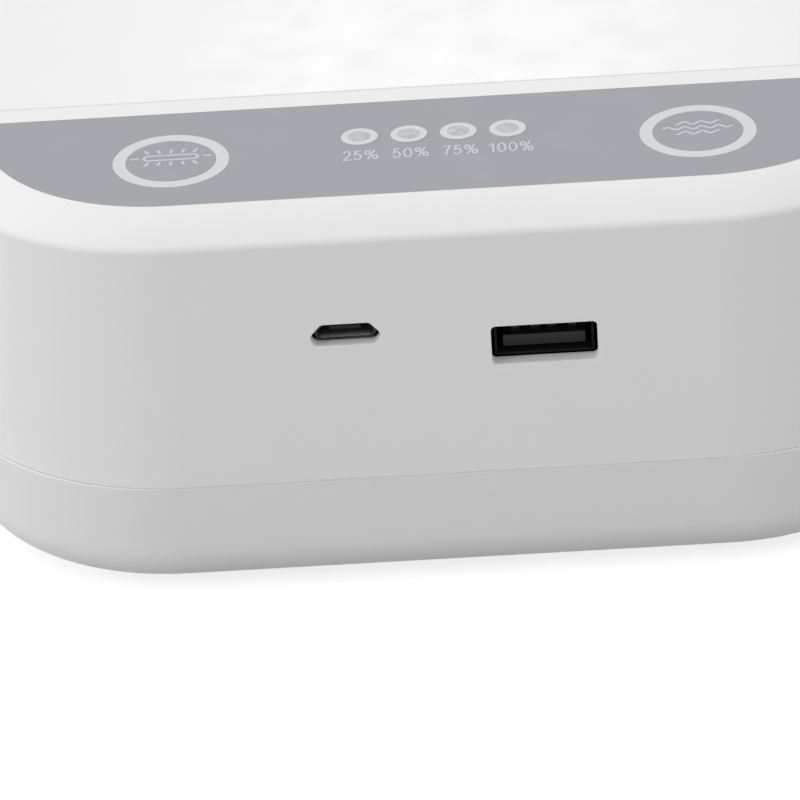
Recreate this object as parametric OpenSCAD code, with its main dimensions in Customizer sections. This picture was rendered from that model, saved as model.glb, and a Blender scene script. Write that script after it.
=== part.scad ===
// Ultraviolet cleaning box for a phone: a low white case with a control panel at one short end
// and a hinged lid over a reflective chamber. +Z is up, the panel and sockets face -Y, and the
// origin lies on the table, under the middle of the whole outline.

/* [Case] */
// Width of the case
body_w = 125; // [112:1:150]
// Length of the case without its hinge
body_l = 220; // [200:1:260]
// Corner radius of the case seen from above
corner_r = 29.4; // [26:0.2:34]
// How much smaller the bottom shell's corner radius is
shell_square = 0.8; // [0:0.1:1.5]
// Height of the bottom shell
shell_h = 15; // [13:0.2:20]
// Height of the upper case, from the seam to the deck
case_h = 35.8; // [34:0.2:44]
// Thickness of the case walls
wall = 2; // [1.6:0.1:2.6]
// Thickness of the bottom shell's floor
floor_t = 2.2; // [1.8:0.1:3]
// Thickness of the deck and of the lid's top
deck_t = 2.4; // [2:0.1:3]
// Radius of the rounded bottom edge
bottom_r = 6.1; // [4:0.1:8]
// How far the bottom shell narrows from the seam to its rounded edge
shell_draft = 0.8; // [0.2:0.1:1.5]
// How far the bottom shell stands out past the upper case
seam_step = 0.15; // [0.05:0.05:0.3]
// Width of the sloping shoulder round the deck
shoulder_w = 6.4; // [5:0.1:8]
// Slope of the shoulder where it leaves the deck, in degrees
shoulder_a0 = 12; // [6:1:18]
// Slope of the shoulder at its outer edge, in degrees
shoulder_a1 = 34; // [28:1:42]
// Radius between the shoulder and the wall
edge_r = 1.1; // [0.8:0.1:2.4]

/* [Feet and screws] */
// Height of the rubber feet below the case
foot_h = 1.2; // [0.8:0.1:2.5]
// Radius of the feet
foot_r = 6; // [4.5:0.5:7]
// Distance of the feet from the sides and ends of the case
foot_in = 20; // [17:1:24]
// Radius of the shank of every screw
screw_r = 1.2; // [1:0.1:1.4]
// Radius of the head of every screw
screw_head_r = 2.3; // [2:0.1:2.6]
// Wall of a screw boss
boss_wall = 1.5; // [1.2:0.1:2]

/* [Control panel] */
// Depth of the grey panel, front to back
panel_d = 25.6; // [24:0.2:30]
// Thickness of the grey panel
panel_t = 0.8; // [0.6:0.1:1]
// How far the panel's face lies below the deck
panel_sink = 0.15; // [0.05:0.05:0.3]
// Width of the white strip between the panel and the lid
strip_d = 3.6; // [3:0.1:6]
// Distance of the row of buttons from the panel's front edge
row_y = 12.4; // [12:0.2:13]

/* [Buttons] */
// Distance of each button from the side of the case
button_in = 30; // [27:0.5:33]
// Outer diameter of the light rings
ring_od = 14.5; // [13.5:0.1:15.5]
// Inner diameter of the light rings
ring_id = 11.2; // [10.5:0.1:11.6]
// How far a button travels
key_travel = 0.4; // [0.2:0.05:0.6]
// Radial play of a button in its ring
key_play = 0.06; // [0.03:0.01:0.1]
// Width of a switch body
switch_w = 6; // [5:0.1:7]
// Height of a switch body
switch_h = 3.6; // [3:0.1:4.2]
// Radius of a switch plunger
plunger_r = 1.7; // [1.4:0.1:2]

/* [Indicators] */
// Distance between the indicators
led_pitch = 6.12; // [5.6:0.02:6.6]
// Distance of the indicators behind the row of buttons
led_back = 3.65; // [3:0.05:4.5]
// Outer diameter of an indicator's rim
rim_d = 4.58; // [4:0.02:4.8]
// Diameter of an indicator's lens
lens_d = 2.8; // [2.2:0.1:3]

/* [Sockets] */
// Distance of each socket from the middle of the case
port_x = 12.1; // [11:0.1:18]
// Depth of the underside of the main board below the deck
board_down = 14.4; // [13.4:0.1:15]
// Width of the large cut-out
usb_cut_w = 13; // [12.8:0.1:14]
// Height of the large cut-out
usb_cut_h = 5.2; // [5:0.1:6]
// Outer width of the large socket
usb_w = 12.2; // [12:0.1:12.4]
// Outer height of the large socket
usb_h = 4.5; // [4.4:0.1:4.8]
// Length of the large socket
usb_l = 14; // [12:0.5:15]
// Width of the small cut-out
micro_cut_w = 8.5; // [8.2:0.1:9.5]
// Height of the small cut-out
micro_cut_h = 2.9; // [2.8:0.1:3.4]
// Outer width of the small socket
micro_w = 7.5; // [7.3:0.1:7.8]
// Outer height of the small socket
micro_h = 2.5; // [2.3:0.1:2.6]
// Length of the small socket
micro_l = 5.5; // [5:0.1:6]
// How far the front of the small socket stands ahead of the large one's
micro_out = 0.4; // [0:0.1:0.8]
// Sheet thickness of both sockets
sheet_t = 0.3; // [0.25:0.05:0.35]

/* [Lid] */
// Height of the lid's sides below the deck
lid_h = 16; // [15:0.5:18]
// Gap between the lid and the deck in front of it
lid_gap = 0.35; // [0.3:0.05:0.8]
// Gap under the lid's rim
rim_gap = 0.3; // [0.2:0.05:0.6]
// Depth of the lid's inner liner
liner_depth = 8; // [6:0.5:8.5]

/* [Hinge] */
// Radius of the hinge barrels
hinge_r = 3; // [2.6:0.1:3.6]
// Radius of the hinge pins
pin_r = 1; // [0.8:0.1:1.2]
// Radial play of a hinge pin in its barrel
pin_play = 0.05; // [0.02:0.01:0.1]
// Gap between the barrels and the case wall
hinge_gap = 0.5; // [0.4:0.05:0.8]
// Distance of each hinge from the middle of the case
hinge_x = 22; // [18:0.5:23]
// Length of each barrel
barrel_l = 6; // [5:0.5:6.5]
// Gap between neighbouring barrels
barrel_gap = 0.3; // [0.2:0.05:0.5]

/* [Chamber] */
// Width of the rim beside the chamber
rim_w = 13; // [12.5:0.5:16]
// Width of the rim at each end of the chamber
rim_l = 7; // [7:0.5:9]
// Corner radius of the chamber
chamber_r = 14; // [10:1:18]
// Depth of the chamber tray
tray_depth = 20; // [18:0.5:20.5]
// Thickness of the tray and of the lid's liner
tray_t = 1.2; // [1:0.1:1.5]
// How far the chamber's sides slope inwards
tray_draft = 1.5; // [0.5:0.1:2.5]
// Diameter of the lamps
lamp_d = 4; // [3.5:0.1:5]
// Length of the lamps
lamp_l = 130; // [100:1:135]
// Height of the rails that hold the phone
rail_h = 7.5; // [7:0.1:9]
// Width of each rail
rail_w = 3; // [2:0.1:4]
// Distance of each rail from the middle
rail_x = 24; // [18:0.5:26]
// Gap between the ends of the rails and the scent cup
rail_clear = 2; // [1:0.5:6]
// Width of the seal round the chamber
seal_w = 2; // [1.5:0.1:2.5]

/* [Driver board] */
// Width of the driver board
driver_w = 62; // [56:1:80]
// Length of the driver board
driver_l = 40; // [36:1:60]
// Width of the transformer
transformer_w = 20; // [16:1:24]
// Length of the transformer
transformer_l = 12; // [10:1:14]
// Radius of the capacitors
capacitor_r = 2.5; // [2:0.1:3]

/* [Scent cup] */
// Radius of the scent cup
cup_r = 10; // [8:0.5:10.5]
// Height of the scent cup
cup_h = 5.6; // [4.5:0.1:6]
// Wall of the scent cup
cup_wall = 1.2; // [1:0.1:1.5]

/* [Hidden] */
$fn = 96;

// A small gap between pieces that fit together, and the overlap of joined or cut shapes
fit = 0.1;
eps = 0.5;
head_h = 1.4;

// Heights
base_z = foot_h;
seam_z = base_z + shell_h;
deck_z = seam_z + case_h;
lid_z = deck_z - lid_h;
floor_z = base_z + floor_t;
ceiling_z = deck_z - deck_t;

// Places along the case, front to back
hinge_out = hinge_gap + hinge_r;
front_y = -(body_l + hinge_out + hinge_r) / 2;
back_y = front_y + body_l;
mid_y = (front_y + back_y) / 2;
hinge_y = back_y + hinge_out;
panel_y = front_y + seam_step + shoulder_w;
button_y = panel_y + row_y;
lid_y = panel_y + panel_d + strip_d;
lid_front_y = lid_y + lid_gap;
chamber_y = (lid_y + back_y) / 2;

// The upper case's outer size and the deck's corner
case_w = body_w - 2 * seam_step;
case_l = body_l - 2 * seam_step;
case_r = corner_r - seam_step;

// Shoulder: an arc whose slope grows from a0 to a1, then a small radius down to the wall
edge_run = edge_r * (1 - sin(shoulder_a1));
arc_r = (shoulder_w - edge_run) / (sin(shoulder_a1) - sin(shoulder_a0));
wall_top_z = deck_z - arc_r * (cos(shoulder_a0) - cos(shoulder_a1)) - edge_r * cos(shoulder_a1);
edge_steps = 6;
shoulder_points = concat(
    [for (i = [0:edge_steps]) let (t = 90 - (90 - shoulder_a1) * i / edge_steps)
        [edge_r * (1 - sin(t)), wall_top_z + edge_r * cos(t)]],
    [for (i = [1:edge_steps]) let (t = shoulder_a1 - (shoulder_a1 - shoulder_a0) * i / edge_steps)
        [edge_run + arc_r * (sin(shoulder_a1) - sin(t)), deck_z - arc_r * (cos(shoulder_a0) - cos(t))]]);

// Chamber, tray and liner
chamber_w = body_w - 2 * rim_w;
chamber_l = back_y - lid_y - 2 * rim_l;
ledge_t = 2;
flange_z = lid_z - ledge_t;
tray_z = flange_z + tray_t - tray_depth;
liner_z = lid_z + rim_gap + head_h + fit + tray_t;
liner_top_z = liner_z + liner_depth;

// Main board
board_t = 1.2;
board_z = deck_z - board_down;
board_top_z = board_z + board_t;
board_front_y = front_y + seam_step + wall + 0.6;
board_back_y = lid_y - wall - 1;
board_in = 10;
board_screw_l = 6;
board_hole_in = 6.5;
board_boss_x = body_w / 2 - board_in - board_hole_in;
board_hole_front = 12;
board_hole_back = 3.5;
board_boss_y = [front_y + board_hole_front, board_back_y - board_hole_back];
board_boss_h = ceiling_z - board_top_z + eps;
hole_play = 0.2;
chip_w = 8;
chip_l = 5;
chip_h = 1.6;
chip_in = 6;
reed_l = 14;
reed_r = 1;
reed_in = 0.4;

// Sockets
socket_y = front_y + seam_step + wall - 0.2;
usb_drop = 1.7;
usb_top_z = board_z - usb_drop;
usb_mid_z = usb_top_z - usb_h / 2;
micro_top_z = board_z;
micro_mid_z = micro_top_z - micro_h / 2;
tongue_t = 1.5;
tongue_in = 0.9;
tongue_lift = 0.35;
tongue_root = 4;
usb_inner_w = usb_w - 2 * sheet_t - fit;
usb_inner_h = usb_h - 2 * sheet_t - fit;
contact_x = [-3.5, -1, 1, 3.5];
contact_in = tongue_in + 1.9;
contact_w = 1;
contact_t = 0.25;
contact_z = usb_mid_z - usb_inner_h / 2 + tongue_lift + tongue_t;

// Buttons
button_x = [button_in - body_w / 2, body_w / 2 - button_in];
key_r = ring_id / 2 - key_play;
panel_z = deck_z - panel_sink - panel_t;
panel_face_z = deck_z - panel_sink;
ring_foot_z = ceiling_z - 1.2;
ring_foot_w = 1.2;
key_top_t = 1.4;
key_skirt_z = ring_foot_z - 0.2;
key_skirt_t = 1.1;
key_foot_z = key_skirt_z - key_skirt_t;
plunger_top_z = board_top_z + switch_h + 1.4;
stem_h = panel_face_z - key_top_t + fit - plunger_top_z;
led_y = button_y + led_back;

// Driver board under the tray
driver_post_h = 3;
driver_z = floor_z + driver_post_h;
driver_ahead = 30;
driver_y = chamber_y - driver_ahead;
driver_hole_in = 4;
driver_screw_x = driver_w / 2 - driver_hole_in;
driver_screw_y = driver_l / 2 - driver_hole_in;
capacitor_in = 10;
capacitor_pitch = 4 * capacitor_r;
driver_top_z = driver_z + board_t;
driver_room = tray_z - tray_t - driver_top_z - 0.6;

// Scent cup, and the ends of the rails behind it
cup_in = 4.5;
cup_floor_t = 1;
pad_room = 1.6;
cup_x = chamber_w / 2 - tray_draft - cup_r - cup_in;
cup_y = chamber_y - chamber_l / 2 + tray_draft + cup_r + cup_in;
slot_pitch = 0.27 * cup_r;
slot_w = 1.2;
rail_in = tray_draft + cup_in + 2 * cup_r + rail_clear;

// Screws and bosses of the case
seat_t = 3;
case_screw_l = 9.5;
case_boss_in = 36;
case_boss_x = chamber_w / 2 + tray_t + 0.4 + screw_r + boss_wall;
case_boss_y = [front_y + case_boss_in, back_y - case_boss_in];
case_boss_h = flange_z - ledge_t - seam_z + eps;

// Lamps, magnets and screws of the lid
lamp_lift = 1;
base_lamp_z = tray_z + lamp_lift + lamp_d / 2;
lid_lamp_z = liner_top_z - lamp_lift - lamp_d / 2;
holder_w = 8;
holder_grip = 5;
holder_end = 1;
holder_t = 0.7;
magnet_w = 10;
magnet_t = 3;
magnet_h = 5;
magnet_in = 26;
magnet_x = body_w / 2 - magnet_in;
liner_screw_l = 6;
liner_screw_in = 3.6;
liner_screw_front = 22;
liner_screw_back = 34;
liner_screw_x = body_w / 2 - wall - liner_screw_in;
liner_screw_y = [lid_front_y + liner_screw_front, back_y - liner_screw_back];

white = [0.93, 0.93, 0.93];
grey = [0.64, 0.65, 0.67];
milk = [0.85, 0.86, 0.86];
silver = [0.8, 0.81, 0.83];
steel = [0.7, 0.7, 0.72];
board_green = [0.1, 0.42, 0.24];
black = [0.08, 0.08, 0.09];

// A block with a rounded plan whose side follows [inset, z] points from low to high
module moulded(w, l, r, side) {
    low = side[0][1];
    high = side[len(side) - 1][1];
    n = len(side) - 1;
    for (k = [0:3])
        translate([(k == 0 || k == 3 ? 1 : -1) * (w / 2 - r), (k < 2 ? 1 : -1) * (l / 2 - r), 0])
            rotate(k * 90) rotate_extrude(angle = 90)
                polygon(concat([[0, low]], [for (p = side) [r - p[0], p[1]]], [[0, high]]));
    rotate([90, 0, 0]) linear_extrude(l - 2 * r, center = true)
        polygon(concat([for (p = side) [w / 2 - p[0], p[1]]],
            [for (i = [n:-1:0]) [side[i][0] - w / 2, side[i][1]]]));
    rotate([90, 0, 90]) linear_extrude(w - 2 * r, center = true)
        polygon(concat([for (p = side) [l / 2 - p[0], p[1]]],
            [for (i = [n:-1:0]) [side[i][0] - l / 2, side[i][1]]]));
}

// A straight block with the case's plan, set in from the upper case's face
module case_slab(inset, z0, z1)
    translate([0, mid_y, 0])
        moulded(case_w - 2 * inset, case_l - 2 * inset, case_r - inset, [[0, z0], [0, z1]]);

// Everything behind y
module behind(y)
    translate([-body_w, y, -eps]) cube([2 * body_w, body_l, deck_z + 2 * eps]);

// Everything in front of y
module ahead(y)
    translate([-body_w, y - body_l, -eps]) cube([2 * body_w, body_l, deck_z + 2 * eps]);

// The outer form of the upper case and lid, from z0 up to the deck
module top_form(z0)
    translate([0, mid_y, 0])
        moulded(case_w, case_l, case_r, concat([[0, z0]], shoulder_points));

// The hollow of the upper case and lid, from z0 up to the ceiling
module top_hollow(z0)
    translate([0, mid_y, 0])
        moulded(case_w - 2 * wall, case_l - 2 * wall, case_r - wall,
            [[0, z0], [0, wall_top_z - 1.2], [shoulder_w - wall + 1.2, ceiling_z]]);

// The chamber's basin, grown by g, from its floor at z0 to its mouth at z1
module basin(g, z0, z1) {
    soft = 3;
    translate([0, chamber_y, 0])
        moulded(chamber_w + 2 * g, chamber_l + 2 * g, chamber_r + g,
            [[tray_draft + soft, z0], [tray_draft + soft * 0.3, z0 + soft * 0.3],
             [tray_draft, z0 + soft], [0, z1]]);
}

// The chamber's basin turned over, from its mouth at z0 to its ceiling at z1
module basin_over(g, z0, z1) {
    soft = 2;
    translate([0, chamber_y, 0])
        moulded(chamber_w + 2 * g, chamber_l + 2 * g, chamber_r + g,
            [[0, z0], [tray_draft, z1 - soft], [tray_draft + soft, z1]]);
}

// A screw with a round head below its shank, point upwards from z
module screw(x, y, z, l) translate([x, y, z]) {
    difference() {
        cylinder(r = screw_head_r, h = head_h);
        translate([0, 0, -eps]) cylinder(r = screw_r * 0.8, h = eps + 0.8, $fn = 6);
    }
    translate([0, 0, head_h - 0.2]) cylinder(r = screw_r, h = l);
}

module bottom_shell() color(white) difference() {
    union() {
        difference() {
            translate([0, mid_y, 0]) moulded(body_w, body_l, corner_r - shell_square, concat(
                [for (i = [0:8]) let (t = i * 90 / 8)
                    [shell_draft + bottom_r * (1 - sin(t)), base_z + bottom_r * (1 - cos(t))]],
                [[0, seam_z]]));
            translate([0, mid_y, 0]) moulded(body_w - 2 * wall, body_l - 2 * wall, corner_r - wall,
                [[bottom_r * 0.6, floor_z], [shell_draft, base_z + bottom_r], [0, seam_z + eps]]);
        }
        // locating lip inside the upper case's wall
        difference() {
            union() {
                case_slab(wall + fit, seam_z - 3, seam_z + 1.6);
                case_slab(wall - seam_step - 0.05, seam_z - 3, seam_z - 0.4);
            }
            case_slab(wall + fit + 1, seam_z - 3 - eps, seam_z + 1.6 + eps);
        }
        for (x = [-1, 1] * case_boss_x, y = case_boss_y)
            translate([x, y, floor_z - eps])
                cylinder(r = screw_head_r + fit + boss_wall, h = seam_z - floor_z + eps);
        for (x = [-1, 1] * driver_screw_x, y = [-1, 1] * driver_screw_y)
            translate([x, driver_y + y, floor_z - eps])
                cylinder(r = screw_r + boss_wall, h = driver_post_h + eps);
    }
    // sunk screw holes from below
    for (x = [-1, 1] * case_boss_x, y = case_boss_y) translate([x, y, 0]) {
        cylinder(r = screw_head_r + fit, h = seam_z - seat_t);
        cylinder(r = screw_r + fit, h = seam_z + eps);
    }
    for (x = [-1, 1] * driver_screw_x, y = [-1, 1] * driver_screw_y)
        translate([x, driver_y + y, floor_z - 0.6]) cylinder(r = screw_r, h = driver_post_h + 1 + eps);
    // shallow seats for the feet
    for (x = [-1, 1] * (body_w / 2 - foot_in), y = [front_y + foot_in, back_y - foot_in])
        translate([x, y, 0]) cylinder(r = foot_r + fit, h = base_z + 0.6);
}

// Outline of the small socket: a narrow flat top, sloping corners and a wide bottom
module micro_outline(w, h) polygon([[-0.35 * w, h / 2], [0.35 * w, h / 2], [w / 2, 0],
    [w / 2, -0.25 * h], [0.44 * w, -h / 2], [-0.44 * w, -h / 2], [-w / 2, -0.25 * h], [-w / 2, 0]]);

module upper_case() color(white) difference() {
    union() {
        difference() {
            top_form(seam_z);
            intersection() {
                top_hollow(seam_z - eps);
                ahead(lid_y - wall);
            }
            case_slab(wall, seam_z - eps, flange_z - ledge_t);
            // room for the lid, the tray's flange and its basin
            intersection() {
                case_slab(-eps, lid_z, deck_z + eps);
                behind(lid_y);
            }
            intersection() {
                case_slab(wall, flange_z, lid_z + eps);
                behind(lid_y + wall);
            }
            basin(tray_t + 0.4, seam_z - 2, flange_z + eps);
        }
        // bosses for the case screws, standing on the seam, and for the main board
        for (x = [-1, 1] * case_boss_x, y = case_boss_y)
            translate([x, y, seam_z]) cylinder(r = screw_r + boss_wall, h = case_boss_h);
        for (x = [-1, 1] * board_boss_x, y = board_boss_y)
            translate([x, y, board_top_z]) cylinder(r = screw_r + boss_wall, h = board_boss_h);
        // fixed hinge barrels on webs from the rear wall
        for (x = [-1, 1] * hinge_x, s = [-1, 1])
            translate([x + s * (barrel_l + barrel_gap), 0, 0]) fixed_barrel();
    }
    // seat and holes of the grey panel
    panel_outline(fit, panel_z, deck_z + eps);
    for (x = button_x) translate([x, button_y, ring_foot_z])
        cylinder(r = ring_od / 2 + fit, h = deck_t + 2);
    for (i = [0:3]) translate([led_x(i), led_y, ceiling_z - eps])
        cylinder(r = rim_d / 2 + fit, h = deck_t + eps, $fn = 48);
    // cut-outs of the sockets
    translate([port_x, front_y - eps, usb_mid_z]) rotate([-90, 0, 0])
        linear_extrude(wall + 3 * eps) rounded_rect(usb_cut_w, usb_cut_h, 0.6);
    translate([-port_x, front_y - eps, micro_mid_z]) rotate([90, 0, 0]) mirror([0, 0, 1])
        linear_extrude(wall + 3 * eps) micro_outline(micro_cut_w, micro_cut_h);
    for (x = [-1, 1] * case_boss_x, y = case_boss_y)
        translate([x, y, seam_z - eps]) cylinder(r = screw_r, h = case_screw_l - seat_t + 2.5);
    for (x = [-1, 1] * board_boss_x, y = board_boss_y)
        translate([x, y, board_top_z - eps]) cylinder(r = screw_r, h = board_screw_l + eps);
    for (x = [-1, 1] * hinge_x) hinge_bore(x);
}

function led_x(i) = (i - 1.5) * led_pitch;

module rounded_rect(w, h, r) {
    square([w - 2 * r, h], center = true);
    square([w, h - 2 * r], center = true);
    for (x = [-1, 1], y = [-1, 1]) translate([x * (w / 2 - r), y * (h / 2 - r)]) circle(r = r, $fn = 24);
}

// Barrels lie along X round the hinge axis, which is level with the lid's rim
module barrel() translate([0, hinge_y, lid_z]) rotate([0, 90, 0])
    cylinder(r = hinge_r, h = barrel_l, center = true);
module web(z, h) translate([-barrel_l / 2, back_y - wall, z]) cube([barrel_l, wall + hinge_out, h]);
module fixed_barrel() {
    barrel();
    web(lid_z - hinge_r, 0.7 * hinge_r);
}
module lid_barrel() {
    barrel();
    web(lid_z + rim_gap, hinge_r - rim_gap);
}
module hinge_bore(x) translate([x, hinge_y, lid_z]) rotate([0, 90, 0])
    cylinder(r = pin_r + pin_play, h = 3 * barrel_l + 2 * barrel_gap + 2 * eps, center = true);

// Plan of the grey panel, grown by g, between two heights
module panel_outline(g, z0, z1) intersection() {
    case_slab(shoulder_w - g, z0, z1);
    ahead(panel_y + panel_d + g);
}

module control_panel() color(grey) difference() {
    panel_outline(0, panel_z, panel_face_z);
    for (x = button_x) translate([x, button_y, panel_z - eps])
        cylinder(r = ring_od / 2 + key_play, h = 2);
    for (i = [0:3]) translate([led_x(i), led_y, panel_z - eps])
        cylinder(r = rim_d / 2 + key_play, h = 2, $fn = 48);
}

// A light ring that passes through the deck, with a foot under it
module light_ring(x) color(milk) translate([x, button_y, 0]) difference() {
    union() {
        translate([0, 0, ring_foot_z]) cylinder(r = ring_od / 2, h = panel_face_z - ring_foot_z);
        translate([0, 0, ring_foot_z])
            cylinder(r = ring_od / 2 + ring_foot_w, h = ceiling_z - ring_foot_z);
    }
    translate([0, 0, ring_foot_z - eps]) cylinder(r = ring_id / 2, h = deck_t + 4);
}
module uv_light_ring() light_ring(button_x[0]);
module scent_light_ring() light_ring(button_x[1]);

// A hollow round key with a skirt that keeps it under the ring and a stem to the switch
module key(x) color(grey) translate([x, button_y, 0]) {
    difference() {
        union() {
            translate([0, 0, key_foot_z]) cylinder(r = key_r, h = panel_face_z - key_foot_z);
            translate([0, 0, key_foot_z]) cylinder(r = key_r + 1, h = key_skirt_t);
        }
        translate([0, 0, key_foot_z - eps])
            cylinder(r = key_r - 1.2, h = panel_face_z - key_top_t - key_foot_z + eps);
    }
    translate([0, 0, plunger_top_z]) cylinder(r = plunger_r - 0.2, h = stem_h);
}
module uv_button() key(button_x[0]);
module scent_button() key(button_x[1]);

module switch_body(x) color(black) translate([x, button_y, board_top_z]) difference() {
    translate([-switch_w / 2, -switch_w / 2, 0]) cube([switch_w, switch_w, switch_h]);
    translate([0, 0, switch_h - 1.2]) cylinder(r = plunger_r + 0.1, h = 2);
}
module uv_switch() switch_body(button_x[0]);
module scent_switch() switch_body(button_x[1]);

module plunger(x) color(silver) translate([x, button_y, board_top_z + switch_h - 1.2 + key_travel + fit])
    cylinder(r = plunger_r, h = plunger_top_z - (board_top_z + switch_h - 1.2 + key_travel + fit));
module uv_switch_plunger() plunger(button_x[0]);
module scent_switch_plunger() plunger(button_x[1]);

module indicator_rims() color(milk) for (i = [0:3]) translate([led_x(i), led_y, 0]) difference() {
    rim_z = ceiling_z - 0.4;
    translate([0, 0, rim_z]) cylinder(r = rim_d / 2, h = panel_face_z - rim_z, $fn = 48);
    translate([0, 0, rim_z - eps]) cylinder(r = lens_d / 2 + key_play, h = deck_t + 2, $fn = 48);
}

// Domed light pipes from the indicators down to their diodes
module indicator_lenses() color(milk) for (i = [0:3]) translate([led_x(i), led_y, 0]) {
    pipe_z = board_top_z + 1.3;
    top_z = panel_face_z - 0.3;
    dome_r = lens_d;
    translate([0, 0, pipe_z]) cylinder(r = lens_d / 2, h = top_z - pipe_z, $fn = 48);
    intersection() {
        translate([0, 0, top_z + 0.35 - dome_r]) sphere(r = dome_r, $fn = 48);
        translate([0, 0, top_z - 0.1]) cylinder(r = lens_d / 2, h = 1, $fn = 48);
    }
}

module main_board() color(board_green) difference() {
    intersection() {
        case_slab(wall + 0.6, board_z, board_top_z);
        translate([board_in - body_w / 2, board_front_y, board_z - eps])
            cube([body_w - 2 * board_in, board_back_y - board_front_y, board_t + 2 * eps]);
    }
    for (x = [-1, 1] * board_boss_x, y = board_boss_y)
        translate([x, y, board_z - eps])
            cylinder(r = screw_r + hole_play, h = board_t + 2 * eps, $fn = 32);
}

// A diode of w by d by h on the main board, centred on x and y
module diode(x, y, w, d, h) translate([x - w / 2, y - d / 2, board_top_z]) cube([w, d, h]);
module indicator_leds() color("ivory") for (i = [0:3]) diode(led_x(i), led_y, 2, 1.4, 0.9);

// Two diodes under each light ring, one on each side of the switch
module ring_leds() color("ivory") for (x = button_x, s = [-1, 1])
    diode(x + s * (ring_od / 2 - 0.8), button_y, 1.6, 2.4, 0.9);

module control_chip() color(black)
    translate([-chip_w / 2, board_front_y + chip_in, board_top_z]) cube([chip_w, chip_l, chip_h]);

// Glass tube of the lid sensor, lying on the board beside one magnet
module reed_sensor() color("palegreen")
    translate([magnet_x - reed_l / 2, board_back_y - reed_r - reed_in, board_top_z + reed_r])
        rotate([0, 90, 0]) cylinder(r = reed_r, h = reed_l, $fn = 24);

module usb_socket_shell() color(steel) translate([port_x, socket_y, usb_mid_z]) {
    difference() {
        translate([-usb_w / 2, 0, -usb_h / 2]) cube([usb_w, usb_l, usb_h]);
        translate([sheet_t - usb_w / 2, -eps, sheet_t - usb_h / 2])
            cube([usb_w - 2 * sheet_t, usb_l + 2 * eps, usb_h - 2 * sheet_t]);
    }
    // tabs up to the board
    for (x = [-usb_w / 2, usb_w / 2 - sheet_t]) translate([x, usb_l * 0.5, usb_h / 2 - eps])
        cube([sheet_t, 2.5, board_z - usb_top_z + eps]);
}

module usb_socket_tongue() color(black) translate([port_x, socket_y, usb_mid_z - usb_inner_h / 2]) {
    tongue_w = 0.88 * usb_inner_w;
    translate([-usb_inner_w / 2, usb_l - tongue_root, 0])
        cube([usb_inner_w, tongue_root, usb_inner_h]);
    translate([-tongue_w / 2, tongue_in, tongue_lift]) cube([tongue_w, usb_l - tongue_root, tongue_t]);
}

module usb_socket_contacts() color("gold") for (x = contact_x)
    translate([port_x + x - contact_w / 2, socket_y + contact_in, contact_z])
        cube([contact_w, usb_l - tongue_root - contact_in, contact_t]);

module micro_socket_shell() color(steel) translate([-port_x, socket_y - micro_out, micro_mid_z])
    rotate([90, 0, 0]) mirror([0, 0, 1]) linear_extrude(micro_l) difference() {
        micro_outline(micro_w, micro_h);
        micro_outline(micro_w - 2 * sheet_t, micro_h - 2 * sheet_t);
    }

module micro_socket_tongue() color(black)
    translate([-port_x, socket_y - micro_out, micro_mid_z - micro_h / 2 + sheet_t]) {
        root_w = 0.7 * (micro_w - 2 * sheet_t);
        root_h = micro_h - 2 * sheet_t;
        root_l = 1.5;
        translate([-root_w / 2, micro_l - root_l, 0.1 * root_h]) cube([root_w, root_l, 0.8 * root_h]);
        translate([-0.4 * root_w, tongue_in, 0.3 * root_h])
            cube([0.8 * root_w, micro_l - root_l, 0.25 * root_h]);
    }

module board_screws() color(steel) for (x = [-1, 1] * board_boss_x, y = board_boss_y)
    screw(x, y, board_z - head_h, board_screw_l);

// Bright tray with a flange that lies on the ledge of the upper case
module chamber_tray() color(silver) difference() {
    union() {
        intersection() {
            case_slab(wall + fit, flange_z, flange_z + tray_t);
            behind(lid_y + wall + fit);
        }
        basin(tray_t, tray_z - tray_t, flange_z + tray_t);
    }
    basin(0, tray_z, flange_z + tray_t + 0.01);
}

// Soft strip round the chamber that closes against the lid's liner
module lid_seal() color([0.3, 0.3, 0.32]) {
    seal_in = (rim_l - tray_t - wall) / 2;
    difference() {
        basin_ring(seal_in + seal_w);
        basin_ring(seal_in, eps);
    }
}
module basin_ring(g, more = 0) translate([0, chamber_y, 0])
    moulded(chamber_w + 2 * g, chamber_l + 2 * g, chamber_r + g,
        [[0, flange_z + tray_t - more], [0, liner_z - tray_t - fit + more]]);

// Clear rails on the tray floor that hold the phone above the lamp
module phone_rails() color([0.8, 0.9, 0.95, 0.5]) for (s = [-1, 1])
    translate([s * rail_x - rail_w / 2, chamber_y - chamber_l / 2 + rail_in, tray_z])
        cube([rail_w, chamber_l - 2 * rail_in, rail_h]);

module lamp(z) color([0.85, 0.9, 1, 0.6]) translate([0, chamber_y, z]) rotate([90, 0, 0])
    cylinder(r = lamp_d / 2, h = lamp_l, center = true, $fn = 48);
module base_lamp() lamp(base_lamp_z);
module lid_lamp() lamp(lid_lamp_z);

// Two blocks that hold a lamp's ends, between z0 and z1
module holders(z0, z1, lamp_z) color(white) for (s = [0, 1])
    translate([0, chamber_y, 0]) mirror([0, s, 0]) translate([0, lamp_l / 2, 0]) difference() {
        translate([-holder_w / 2, -holder_grip, z0])
            cube([holder_w, holder_grip + holder_end, z1 - z0]);
        translate([0, -holder_grip - eps, lamp_z]) rotate([-90, 0, 0])
            cylinder(r = lamp_d / 2 + fit, h = holder_grip + eps + fit, $fn = 48);
    }
module base_lamp_holders() holders(tray_z, base_lamp_z + lamp_d / 2 + holder_t, base_lamp_z);
module lid_lamp_holders() holders(lid_lamp_z - lamp_d / 2 - holder_t, liner_top_z, lid_lamp_z);

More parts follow.
